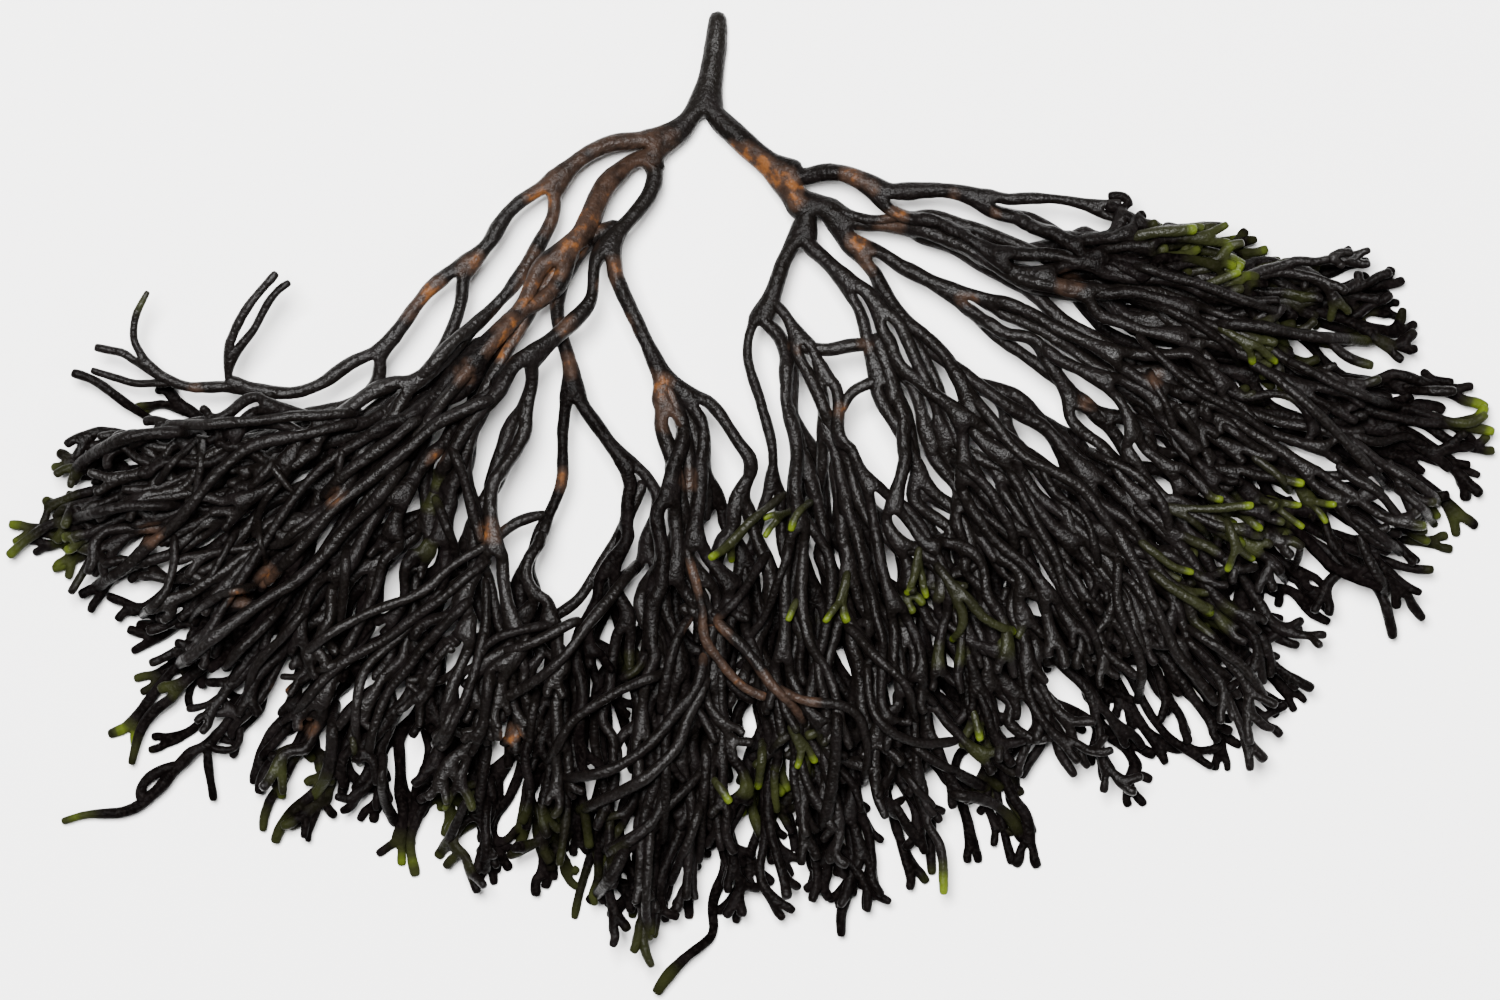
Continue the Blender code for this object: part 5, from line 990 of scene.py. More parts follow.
# Strands on top of the pile: (radius in mm, bloom, plan points from where each comes out of the pile)
TOP_STRANDS = [
    (1.3, 1.0, [(68.6, 54.4), (70.2, 60.2), (70.6, 63.8), (72.6, 66.8), (74.6, 68.6), (76.6, 69.4)]),
    (1.3, 1.0, [(71.4, 61.6), (74.4, 64.6), (76.6, 67.8), (79.2, 70.2), (80.4, 72.4)]),
    (1.2, 0.8, [(77.6, 68.4), (80.4, 69.8), (84.0, 70.2), (86.0, 72.0), (86.6, 75.0), (86.2, 78.0)]),
    (1.2, 0.5, [(76.8, 55.0), (74.8, 58.0), (73.0, 60.2), (70.8, 62.6)]),
    (1.2, 0.6, [(78.8, 54.0), (77.6, 58.4), (76.2, 61.6), (74.4, 64.2)]),
    (1.3, 0.9, [(84.4, 62.2), (88.0, 66.0), (90.6, 68.6), (91.4, 72.2)]),
    (1.2, 0.7, [(86.6, 66.0), (86.8, 70.0), (88.8, 72.8), (92.0, 74.0), (95.6, 73.8)]),
    (1.3, 0.5, [(69.2, 61.2), (67.4, 64.4), (66.4, 68.0), (66.2, 71.0)]),
    (1.4, 0.6, [(70.4, 65.0), (69.4, 68.8), (66.8, 72.0), (64.0, 74.8), (60.4, 76.9), (56.4, 77.6)]),
    (1.4, 0.9, [(70.8, 67.4), (69.0, 71.2), (67.2, 74.8), (64.2, 77.6), (60.4, 79.6), (57.6, 80.8)]),
    (1.3, 0.7, [(66.6, 66.8), (62.0, 68.8), (58.0, 71.2), (56.0, 73.6), (54.8, 76.0)]),
    (1.4, 0.8, [(63.8, 56.0), (60.0, 60.8), (56.4, 65.4), (53.4, 68.0), (50.2, 69.6)]),
    (1.3, 0.5, [(66.6, 75.0), (66.6, 79.4), (66.2, 84.0)]),
    (1.3, 0.6, [(70.6, 73.4), (70.2, 79.6), (69.8, 86.0)]),
    (1.6, 0.5, [(83.4, 70.8), (83.4, 76.2), (82.2, 82.6)]),
    (1.0, 0.9, [(79.0, 73.0), (77.6, 74.0), (76.8, 75.2)]),
    (1.6, 0.8, [
        (49.6, 39.8), (44.6, 42.0), (40.0, 45.6), (36.6, 48.4), (33.0, 51.4), (29.8, 55.2), (26.6, 58.2)]),
    (1.6, 0.8, [
        (41.0, 46.0), (38.0, 49.8), (34.4, 53.4), (30.6, 57.4), (26.0, 60.4), (21.6, 63.8), (18.0, 66.4)]),
    (1.3, 0.7, [(45.2, 44.2), (46.6, 47.4), (47.4, 50.6), (48.2, 54.2)]),
    (1.2, 0.6, [(43.6, 49.4), (45.0, 52.4), (45.8, 55.4)]),
    (1.3, 1.0, [
        (49.0, 54.2), (45.4, 56.4), (42.0, 59.2), (39.0, 60.2), (35.6, 61.8), (33.2, 63.2), (30.6, 65.2)]),
    (1.3, 0.8, [
        (49.4, 56.0), (45.4, 58.8), (41.2, 61.8), (37.4, 64.4), (33.6, 66.6), (31.4, 69.4), (29.4, 71.4)]),
    (1.3, 0.7, [(47.4, 59.6), (44.0, 62.8), (41.4, 66.0), (38.8, 69.0), (37.6, 72.4), (37.0, 75.4)]),
    (1.3, 0.9, [(41.6, 62.0), (38.6, 64.6), (36.6, 67.2), (35.8, 70.6), (36.0, 74.6)]),
    (1.3, 0.6, [(48.4, 57.4), (48.8, 61.4), (48.0, 65.4), (46.8, 69.2), (45.2, 72.6), (44.0, 74.6)]),
    (1.0, 1.0, [(28.0, 45.4), (27.4, 46.6), (25.2, 48.8)]),
    (1.0, 1.0, [(27.2, 46.0), (28.4, 47.4), (29.8, 49.2)]),
    (1.0, 0.9, [(26.2, 51.0), (26.4, 53.4), (26.8, 56.2)]),
    (1.0, 1.0, [(32.8, 50.6), (30.4, 52.6), (28.0, 54.4)]),
    (1.5, 0.8, [
        (36.0, 42.2), (31.0, 43.2), (26.0, 44.4), (22.4, 47.0), (20.0, 50.0), (17.6, 52.4), (14.4, 54.8)]),
    (1.2, 1.0, [(25.8, 58.4), (22.8, 59.0), (20.6, 60.6), (19.0, 62.2)]),
    (1.4, 0.8, [(36.0, 41.2), (30.0, 41.6), (24.0, 42.2), (17.0, 42.4)]),
    (1.3, 0.9, [(57.6, 61.6), (54.0, 63.8), (50.6, 65.0)]),
    (1.1, 0.6, [(55.6, 62.2), (51.4, 63.0), (48.6, 64.4), (47.4, 67.4)]),
    (1.0, 1.0, [(34.6, 65.8), (32.0, 66.8), (29.8, 68.2)]),
    (1.0, 0.8, [(40.4, 67.8), (41.6, 68.5), (43.0, 69.8)]),
    (1.1, 0.8, [(45.4, 64.0), (43.4, 66.4), (42.4, 68.6)]),
    (1.3, 0.5, [(70.4, 76.2), (66.8, 80.2), (63.2, 83.2), (60.4, 84.8)]),
    (1.5, 1.0, [
        (97.2, 40.0), (99.4, 42.6), (101.8, 45.4), (105.0, 47.0), (108.0, 48.8), (109.6, 51.4),
        (111.8, 54.0)]),
    (1.5, 1.0, [(110.8, 52.4), (113.2, 56.2), (115.2, 60.6), (117.0, 64.8), (119.6, 68.0), (121.4, 70.2)]),
    (1.3, 0.9, [(108.6, 45.0), (112.0, 46.6), (114.8, 48.8), (116.4, 51.6), (116.6, 54.0)]),
    (1.2, 0.9, [(114.4, 37.0), (115.6, 39.8), (117.2, 43.4)]),
    (1.2, 0.7, [(113.2, 33.4), (116.2, 36.4), (120.4, 39.8), (124.0, 41.6), (127.6, 43.8)]),
    (1.4, 0.9, [(124.4, 36.2), (128.6, 39.0), (131.4, 41.4), (134.2, 44.6), (138.6, 48.6)]),
    (1.2, 0.7, [(103.4, 46.0), (105.2, 49.4), (107.4, 51.0), (108.8, 53.6), (109.6, 57.0)]),
    (1.3, 0.7, [(100.4, 46.8), (102.6, 50.8), (104.8, 55.0), (106.4, 59.4), (108.6, 62.4), (109.8, 66.0)]),
    (1.3, 0.7, [(95.0, 46.0), (98.4, 48.8), (100.2, 51.6), (101.4, 54.8)]),
    (1.3, 0.8, [(111.4, 55.4), (111.2, 60.0), (112.6, 63.2), (113.8, 66.0), (113.6, 70.0)]),
    (1.3, 0.8, [(118.2, 62.4), (121.6, 64.6), (124.4, 66.8), (126.2, 69.4)]),
    (1.1, 0.7, [(117.6, 63.0), (120.4, 65.8), (122.8, 67.6)]),
    (1.3, 0.7, [(128.0, 36.0), (132.0, 38.0), (136.4, 39.8), (140.0, 40.6)]),
    (1.3, 0.7, [(133.0, 46.2), (137.2, 49.2), (139.8, 52.0)]),
    (1.3, 0.5, [(134.4, 51.4), (137.4, 53.4), (139.8, 55.2)]),
    (1.6, 0.5, [(20.0, 43.0), (15.0, 43.4), (11.0, 44.6), (8.2, 46.4), (7.4, 48.2)]),
    (1.0, 0.8, [(19.8, 44.0), (17.8, 46.2), (15.8, 48.4)]),
    (1.1, 0.8, [(20.3, 43.0), (20.5, 46.4), (19.9, 49.6)]),
    (1.5, 0.5, [(18.4, 50.2), (13.6, 50.5), (10.0, 51.2), (7.6, 52.0)]),
    (1.6, 0.7, [(19.4, 51.0), (15.4, 54.2), (12.4, 56.8), (9.4, 58.6)]),
    (1.1, 0.6, [(17.8, 53.2), (17.8, 56.6), (16.8, 59.4), (14.2, 61.4)]),
    (1.1, 0.6, [(24.2, 52.4), (22.6, 55.6), (20.8, 58.4)]),
    (1.1, 0.7, [(28.8, 47.8), (27.0, 50.0), (25.6, 53.0)]),
    (1.0, 0.7, [(34.7, 44.8), (34.2, 47.0), (34.4, 49.2)]),
    (1.2, 0.8, [(35.0, 54.4), (34.9, 58.4), (34.2, 62.0)]),
    (1.5, 0.8, [(42.4, 41.6), (38.6, 44.6), (35.0, 47.2), (32.4, 49.6)]),
    (1.3, 0.6, [(28.8, 60.2), (26.0, 63.2), (22.6, 66.4)]),
    (1.3, 0.7, [(31.2, 60.4), (28.8, 63.2), (26.2, 65.8), (24.8, 69.2)]),
    (1.5, 0.6, [(33.6, 70.0), (33.3, 74.2), (32.8, 77.4), (31.2, 79.6)]),
    (1.4, 0.6, [(38.4, 75.0), (38.3, 79.0), (39.4, 82.2)]),
    (1.2, 0.9, [(45.8, 70.0), (44.8, 72.2), (43.6, 74.2)]),
    (1.4, 0.5, [(48.8, 79.6), (48.6, 84.0), (48.4, 87.0)]),
    (1.3, 0.5, [(46.8, 79.6), (45.4, 82.8), (43.6, 85.4)]),
    (1.2, 0.6, [(54.0, 67.8), (53.4, 71.2), (52.8, 75.0)]),
    (1.4, 0.6, [(66.4, 78.2), (65.8, 81.2), (63.0, 83.6), (60.8, 85.2)]),
    (1.3, 0.8, [(65.1, 82.6), (64.8, 86.6), (64.6, 90.4), (64.9, 93.6)]),
    (1.2, 0.7, [(70.2, 79.6), (69.0, 83.0), (67.8, 86.2), (66.9, 88.2)]),
    (1.6, 0.5, [(62.8, 84.2), (60.8, 87.6), (58.8, 89.8)]),
    (1.3, 0.6, [(90.2, 73.4), (93.0, 75.6), (96.0, 77.3), (99.0, 78.8)]),
    (1.3, 0.7, [(89.2, 80.0), (90.6, 82.4), (92.2, 84.4)]),
    (1.1, 0.7, [(90.0, 76.6), (91.6, 78.6), (93.2, 80.4)]),
    (1.6, 0.6, [(94.4, 79.0), (98.0, 79.6), (100.6, 81.4), (102.2, 84.0)]),
    (1.1, 0.7, [(77.3, 76.4), (77.4, 78.6), (77.6, 81.0)]),
    (1.1, 1.0, [(134.4, 46.6), (136.0, 48.0), (137.6, 49.1)]),
    (1.3, 1.0, [(137.6, 46.2), (141.2, 48.3), (143.6, 50.2)]),
    (1.2, 0.8, [(138.4, 48.2), (141.4, 50.6), (143.4, 52.3)]),
    (1.3, 0.6, [(135.3, 53.2), (136.9, 56.6), (138.3, 59.2)]),
    (1.0, 1.0, [(126.4, 56.0), (127.5, 57.1), (128.5, 58.0)]),
    (1.0, 1.0, [(129.6, 54.6), (129.2, 56.4), (128.5, 57.7)]),
    (1.2, 0.7, [(134.6, 43.4), (137.4, 44.4), (140.2, 43.5), (142.8, 44.8)]),
    (1.5, 0.6, [(121.0, 32.3), (126.2, 32.9), (131.6, 33.7), (137.0, 34.0)]),
    (1.1, 0.6, [(114.6, 30.5), (118.4, 31.9), (121.6, 34.0), (123.8, 36.4)]),
    (1.3, 0.6, [(112.8, 26.7), (118.0, 28.2), (123.0, 29.8), (127.6, 31.4)]),
    (1.1, 0.9, [(131.2, 36.8), (133.0, 37.8), (134.9, 38.7)]),
    (1.2, 0.9, [(116.8, 40.4), (118.2, 42.0), (119.5, 43.8)]),
    (1.1, 0.9, [(121.6, 42.4), (124.0, 43.8), (126.3, 45.2)]),
]

# Green shoots that come out on top of the pile: (radius in mm, plan points of the stem, and of its twigs)
GREEN_SHOOTS = [
    (1.1, [(78.4, 49.0), (75.2, 51.8), (72.9, 54.2)], [[(70.9, 55.6)], [(72.9, 56.0)]]),
    (1.0, [(79.4, 50.8), (77.6, 51.5)], [[(76.2, 51.7)], [(76.3, 53.6)]]),
    (1.0, [(81.0, 50.0), (79.4, 51.5), (79.0, 53.0)], []),
    (1.0, [(124.6, 45.4), (126.6, 47.0), (128.6, 49.0)], []),
    (1.1, [(115.8, 50.4), (117.8, 51.0)], [[(120.8, 50.7), (124.8, 50.3)], [(119.2, 52.2), (120.7, 53.6)]]),
    (1.0, [(125.6, 49.8), (127.4, 50.4)], [[(129.7, 50.4)], [(128.4, 51.6), (129.9, 52.7)]]),
    (1.0, [(129.4, 49.8), (130.8, 50.2)], [[(133.0, 50.2)], [(132.2, 52.2)]]),
    (1.1, [(113.4, 53.8), (116.4, 56.4), (118.9, 57.1)], []),
    (1.4, [(114.4, 56.8), (117.6, 59.2), (120.7, 61.1)], []),
    (1.1, [(122.0, 51.8), (123.2, 54.8)], [[(122.2, 57.0)], [(125.0, 55.7)]]),
    (1.0, [(123.4, 51.2), (125.6, 52.8)], []),
    (1.0, [(91.7, 54.4), (91.4, 56.6)], [[(92.5, 59.6)], [(90.4, 59.2)]]),
    (1.3, [(93.2, 56.0), (95.6, 59.4)], [[(95.9, 62.0), (94.9, 63.8)], [(98.2, 61.6), (101.1, 62.8)]]),
    (1.1, [(84.6, 56.8), (84.0, 60.0)], [[(82.2, 62.0)], [(84.7, 62.0)]]),
    (1.0, [(79.6, 59.6), (78.6, 61.9)], []),
    (1.0, [(78.8, 72.0), (80.2, 74.4)], [[(79.5, 76.5)], [(81.4, 76.0)]]),
    (1.1, [(76.2, 73.8), (76.0, 76.2), (75.6, 78.6)], []),
    (1.1, [(71.2, 77.4), (72.9, 80.0)], []),
    (1.5, [(112.6, 23.9), (116.0, 23.3), (119.2, 23.1)], []),
    (1.2, [(119.0, 29.0), (122.0, 27.9), (123.5, 27.2)], []),
    (1.1, [(121.2, 32.6), (124.4, 34.6)], [[(124.7, 36.4)], [(127.1, 36.4)]]),
    (1.0, [(97.0, 70.6), (97.9, 73.8)], []),
    (1.0, [(35.4, 73.2), (36.0, 76.2)], []),
]

# Strands that are olive along their length, in the same way
OLIVE_STRANDS = [
    (43.8, 48.0, 0.7, 0.9),
    (43.4, 50.2, 0.6, 0.8),
    (42.8, 54.6, 0.7, 0.6),
    (63.0, 66.0, 1.0, 0.4),
]

# A round spot of colour is full within its radius, and gone at this many radii
FADE_REACH = 1.6

# Green at the rim: how far back from the tips it reaches, and how it comes and goes from tip to tip
GREEN_REACH = 16.0 * MM
GREEN_SIZE = 8.0 * MM
GREEN_CHANCE = 0.5
GREEN_CONTRAST = 1.8

# Green shoots are bright near their tips and olive further back, and olive is this share of bright green
BRIGHT_REACH = 6.0 * MM
OLIVE_REACH = 30.0 * MM
OLIVE_SHARE = 0.4

# A strand's bloom: few strands are full of it, and a branch has about as much as what it grows from. Low in
# the
# pile it is taken away as painted shade: it is whole above the second height, and below the first it is down
# to a share. Limbs start to have it at the distance given from any tip, and are full of it from twice as far
# on
BLOOM_POWER = 1.5
BLOOM_CHANGE = 0.25
FULL_PAINTED_SHADE_BELOW = 5.0 * MM
NO_PAINTED_SHADE_ABOVE = 16.0 * MM
BLOOM_IN_DEEPEST_PAINTED_SHADE = 0.1
OLD_FROM = 75.0 * MM

# Short buds, where a strand was about to fork again near its tip: how long it has to be, how many have one,
# the place along it, the bud's length, its lean in degrees, its width, and how clear of it other bends stay
BUD_ROOM = 7.0 * MM
BUD_SHARE = 0.6
BUD_PLACE = (0.4, 0.72)
BUD_LENGTH = (2.6 * MM, 5.0 * MM)
BUD_ANGLE = (32.0, 58.0)
BUD_WIDTH = 0.92
JOINT_ROOM = 1.0 * MM

bud_rng = random.Random("prongs")

# Strands that are laid on the pile: how far apart their points are, how often their heights are evened out,
# how they wander, and how wide their twigs are
LAID_STEP = 3.0 * MM
LAID_PASSES = 12
WANDER = 0.7 * MM
WANDER_SIZE = 9.0 * MM
TWIG_WIDTH = 0.92

# In radii: how wide a band of the pile holds them up, how high over it they lie, and how deep in it they
# start and dive
LAID_WIDTH = 0.7
LAID_HEIGHT = 0.55
ROOT_DEPTH = 0.8
DIVE = 2.4

# The pile is measured from this height down, and a strand's start is looked for in rings round its place
PILE_TOP = 60.0 * MM
SEARCH_STEP = 0.8 * MM
SEARCH_REACH = 6


class Course:
    """A smooth line through the points of a strand, measured along its length."""

    def __init__(self, points, radii):
        ends = [2.0 * points[0] - points[1], *points, 2.0 * points[-1] - points[-2]]
        self.points = [points[0]]
        self.radii = [radii[0]]
        self.lengths = [0.0]
        for i in range(1, len(points)):
            before, start, end, after = ends[i - 1:i + 3]
            for step in range(1, COURSE_STEPS + 1):
                share = step / COURSE_STEPS
                point = 0.5 * (
                    2.0 * start
                    + (end - before) * share
                    + (2.0 * before - 5.0 * start + 4.0 * end - after) * share**2
                    + (3.0 * start - before - 3.0 * end + after) * share**3
                )
                self.lengths.append(self.lengths[-1] + (point - self.points[-1]).length)
                self.points.append(point)
                self.radii.append(radii[i - 1] + (radii[i] - radii[i - 1]) * share)
        self.length = self.lengths[-1]

    def at(self, distance):
        """The point and the radius at a distance along the line, or straight on past its end."""
        place = min(max(bisect(self.lengths, distance), 1), len(self.lengths) - 1)
        start, end = self.lengths[place - 1], self.lengths[place]
        share = (distance - start) / max(end - start, LEAST_LENGTH)
        point = self.points[place - 1].lerp(self.points[place], share)
        share = min(max(share, 0.0), 1.0)
        return point, self.radii[place - 1] * (1.0 - share) + self.radii[place] * share

    def distance_to(self, point):
        """How far along the line its nearest point to this one is."""
        nearest = min(range(len(self.points)), key=lambda i: (self.points[i] - point).length)
        return self.lengths[nearest]


class Strand:
    """A stretch of the finished weed between two forks, with its course and its branches.

    Its total is the length of all that grows from it, and beyond is how far its end is from the nearest tip.
    """

    def __init__(self, points, radii, forks, spray=None):
        self.course = Course(points, radii)
        self.forks = forks
        self.spray = spray
        self.overlap = 0.0
        self.tone = None
        self.parting = None
        self.gone = 0.0
        self.total = self.course.length + sum(fork.total for fork in forks)
        self.beyond = min((fork.course.length + fork.beyond for fork in forks), default=0.0)
        if spray:
            self.beyond = spray.course.length + spray.beyond
            self.overlap = self.course.length - self.course.distance_to(spray.course.points[0])
            spray.overlap = self.overlap

    def part(self, parting, gone=0.0):
        """Keeps the strand, and the spray that starts in it, to one side of the fork that it comes from."""
        self.parting = parting
        self.gone = gone
        if self.spray:
            self.spray.part(parting, gone + self.course.distance_to(self.spray.course.points[0]))

    def centre(self, distance):
        """The middle of the strand at a distance along it, clear of the other branch of its fork."""
        centre, radius = self.course.at(distance)
        if self.parting:
            fork_centre, sideways, width = self.parting
            near = min(max(1.0 - (self.gone + distance - CLEAR_AFTER * width) / SPREAD_LENGTH, 0.0), 1.0)
            short = FORK_SPREAD * width - (centre - fork_centre).dot(sideways)
            centre = centre + sideways * max(short, 0.0) * near
        centre.z = max(centre.z, REST_HEIGHT * radius)
        return centre

    def share_out(self, distance):
        """How far the strand is out of the stretch that a spray shares with the end of its limb."""
        if not self.overlap:
            return 1.0
        return min((self.course.length - distance if self.spray else distance) / self.overlap, 1.0)


def plan_fade(point, spots):
    """How strongly the nearest of some round spots on the plan colours a point."""
    most = 0.0
    for u, v, radius, strength in spots:
        spot = at(u, v, 0.0)
        away = math.hypot(point.x - spot.x, point.y - spot.y) / (radius * PLAN_STEP)
        if away < FADE_REACH:
            most = max(most, strength * min((FADE_REACH - away) / (FADE_REACH - 1.0), 1.0))
    return most


class Cage:
    """One piece of the weed: rings round its strands, skinned over, and webbed where the strands fork."""

    def __init__(self, name, seed, rust=RUST_PATCHES, is_fresh=False):
        self.name = name
        self.rust = rust
        self.is_fresh = is_fresh
        self.shape = bmesh.new()
        # Its blue channel holds the bloom, which is taken away low in the pile as painted shade
        self.tint = self.shape.verts.layers.float_color.new("growth")
        self.rng = random.Random(seed)

    def vertex(self, place, tint):
        """A point of the cage, rust-coloured where a patch of rust covers it."""
        green, bloom_and_painted_shade, age = tint
        vertex = self.shape.verts.new(place)
        vertex[self.tint] = (green, plan_fade(place, self.rust), bloom_and_painted_shade, age)
        return vertex

    def ring(self, centre, along, normal, radius, tint, widening=Vector()):
        """Six points round a strand, the first towards the normal, and spread apart by the widening."""
        side = along.cross(normal)
        radius *= CAGE_SWELL * (1.0 + LUMP_DEPTH * noise.noise(centre / LUMP_SIZE))
        across = widening.normalized()
        points = []
        for i in range(SIDES):
            turn = 2.0 * math.pi * i / SIDES
            away = radius * (math.cos(turn) * normal + math.sin(turn) * side)
            points.append(centre + away + away.dot(across) * widening)
        return [self.vertex(point, tint) for point in points]

    def skin(self, first, second):
        """Faces between two rings."""
        for i in range(SIDES):
            j = (i + 1) % SIDES
            self.shape.faces.new((first[i], first[j], second[j], second[i]))

    def tint_at(self, point, from_tip, tone):
        """Green towards some tips, and the strand's bloom, which grows with age and is taken away low in the
        pile as painted shade.
        """
        nearness = max(1.0 - from_tip / GREEN_REACH, 0.0)
        if self.is_fresh:
            bright = max(1.0 - from_tip / BRIGHT_REACH, 0.0)
            return max(bright, OLIVE_SHARE * max(1.0 - from_tip / OLIVE_REACH, 0.0)), tone, 0.0
        chance = GREEN_CHANCE + GREEN_CONTRAST * noise.noise(point / GREEN_SIZE)
        green = plan_fade(point, GREEN_GROUPS) * nearness * min(max(chance, 0.0), 1.0) if nearness else 0.0
        olive = plan_fade(point, OLIVE_STRANDS) * OLIVE_SHARE
        # Painted shade: strands low in the pile lose their bloom and go near-black, as if shaded by those
        # above them
        height = min(max((point.z - FULL_PAINTED_SHADE_BELOW) / (NO_PAINTED_SHADE_ABOVE - FULL_PAINTED_SHADE_BELOW), 0.0), 1.0)
        age = min(max((from_tip - OLD_FROM) / OLD_FROM, 0.0), 1.0)
        bloom_and_painted_shade = max(BLOOM_IN_DEEPEST_PAINTED_SHADE + (1.0 - BLOOM_IN_DEEPEST_PAINTED_SHADE) * height, age)
        return max(green, olive), tone * bloom_and_painted_shade, age

    def start(self, strand):
        """Starts a strand from a closed end, which is hidden in what bears it or is the stalk's cut end."""
        point = strand.centre(0.0)
        radius = strand.course.radii[0]
        onward = (strand.centre(radius) - point).normalized()
        normal = onward.orthogonal().normalized()
        tone = self.rng.random() ** BLOOM_POWER if strand.tone is None else strand.tone
        tint = self.tint_at(point, strand.course.length + strand.beyond, tone)
        loop = self.ring(point, onward, normal, radius * ROOT_TAPER, tint)
        self.shape.faces.new(reversed(loop))
        self.grow(strand, loop, normal, point, tone)

    def grow(self, strand, loop, normal, start, tone):
        """Adds a strand's rings from a loop of six points on, then its branches or its tip."""
        course = strand.course
        if strand.spray:
            strand.spray.tone = tone
        centres, distances = self.centres(strand)
        leaving = centres[0] - start
        ways = []
        for i, centre in enumerate(centres):
            ahead = centres[i + 1] - centre if i + 1 < len(centres) else centre - centres[i - 1]
            back = centre - centres[i - 1] if i else leaving
            ways.append((ahead.normalized() + back.normalized()).normalized())
        if strand.forks:
            ways[-1], across = self.fork_plane(strand, centres[-1], ways[-1])
        normals = []
        for way in ways:
            normal = (normal - way * normal.dot(way)).normalized()
            normals.append(normal)
        turn, shift = 0.0, 0
        if strand.forks:
            upright = across.cross(ways[-1])
            side = ways[-1].cross(normals[-1])
            angle = math.atan2(upright.dot(side), upright.dot(normals[-1]))
            corner = 2.0 * math.pi / SIDES
            shift = round(angle / corner)
            turn = angle - shift * corner
        for i, centre in enumerate(centres):
            share = i / max(len(centres) - 1, 1)
            twisted = Quaternion(ways[i], turn * share) @ normals[i]
            out = strand.share_out(distances[i])
            radius = course.at(distances[i])[1] * (HIDDEN_WIDTH + (1.0 - HIDDEN_WIDTH) * out)
            to_end = course.length - distances[i]
            tint = self.tint_at(centre, to_end + strand.beyond, tone)
            near = out * max(1.0 - to_end / (FORK_SWELL * radius), 0.0) if strand.forks else 0.0
            widening = across * (FORK_WIDTH - 1.0) * near if near else Vector()
            if i == len(centres) - 1 and strand.forks:
                ring = self.ring(centre, ways[i], upright, radius, tint, widening)
                ordered = [ring[(k - shift) % SIDES] for k in range(SIDES)]
                self.skin(loop, ordered)
                self.branch(strand, ring, centre, ways[i], upright, radius, tint, tone)
                return
            ring = self.ring(centre, ways[i], twisted, radius, tint, widening)
            self.skin(loop, ring)
            loop = ring
        self.tip(centres[-1], ways[-1], twisted, radius, loop, tint)

    def centres(self, strand):
        """The centres of a strand's rings, and how far along the strand they are."""
        course = strand.course
        radius = course.radii[0]
        first = min(FIRST_RING * radius, FIRST_RING_SHARE * course.length)
        last = course.length if strand.forks else course.length - TIP_SHOULDER * course.radii[-1]
        last = max(last, first + LEAST_SPACING * radius)
        steps = max(1, math.ceil((last - first) / RING_SPACING))
        distances = [first + (last - first) * i / steps for i in range(steps + 1)]
        return [strand.centre(distance) for distance in distances], distances

    def fork_plane(self, strand, centre, way):
        """The way that a strand points at its fork, and the way across from its right branch to its left."""
        leaving = []
        for fork in strand.forks:
            point = fork.course.at(CLEAR_AFTER * fork.course.radii[0])[0]
            leaving.append((point - centre).normalized())
        onward = (way + (leaving[0] + leaving[1]).normalized()).normalized()
        across = leaving[0] - leaving[1]
        across -= onward * across.dot(onward)
        if across.length < LEAST_PARTING:
            across = onward.cross(Vector((0.0, 0.0, 1.0)))
        return onward, across.normalized()

    def branch(self, strand, ring, centre, way, upright, radius, tint, tone):
        """Closes the crotch of a fork and grows both branches from it."""
        across = way.cross(upright)
        ahead = centre + way * radius * CROTCH_AHEAD
        over = self.vertex(ahead + upright * radius * CROTCH_HEIGHT, tint)
        under = self.vertex(ahead - upright * radius * CROTCH_HEIGHT, tint)
        left = [ring[0], ring[1], ring[2], ring[3], under, over]
        right = [ring[0], over, under, ring[3], ring[4], ring[5]]
        for fork, loop, sign in ((strand.forks[0], left, 1.0), (strand.forks[1], right, -1.0)):
            own_tone = min(max(tone + self.rng.uniform(-BLOOM_CHANGE, BLOOM_CHANGE), 0.0), 1.0)
            fork.part((centre, across * sign, fork.course.radii[0]))
            self.grow(fork, loop, upright, centre, own_tone)

    def tip(self, centre, way, normal, radius, loop, tint):
        """Rounds off the blunt end of a strand."""
        end = centre + way * TIP_SHOULDER * radius
        face = self.ring(end, way, normal, radius * TIP_FACE, tint)
        self.skin(loop, face)
        self.shape.faces.new(face)

    def finish(self, material):
        """The finished piece: subdivided, grained, and flat where it lies on the surface."""
        bmesh.ops.recalc_face_normals(self.shape, faces=self.shape.faces)
        mesh = bpy.data.meshes.new(self.name)
        self.shape.to_mesh(mesh)
        self.shape.free()
        piece = bpy.data.objects.new(self.name, mesh)
        bpy.context.scene.collection.objects.link(piece)
        bpy.context.view_layer.objects.active = piece
        piece.select_set(True)
        smoothing = piece.modifiers.new("smoothing", "SUBSURF")
        smoothing.levels = 1
        smoothing.render_levels = 1
        bpy.ops.object.modifier_apply(modifier=smoothing.name)
        bpy.ops.object.shade_smooth()
        piece.select_set(False)
        normals = [normal.vector.copy() for normal in mesh.vertex_normals]
        for vertex, normal in zip(mesh.vertices, normals):
            vertex.co += normal * GRAIN_DEPTH * noise.noise(vertex.co / GRAIN_SIZE)
            vertex.co.z = max(vertex.co.z, 0.0)
        mesh.materials.append(material)
        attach(piece, "root")
        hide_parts(NAME)
        return piece


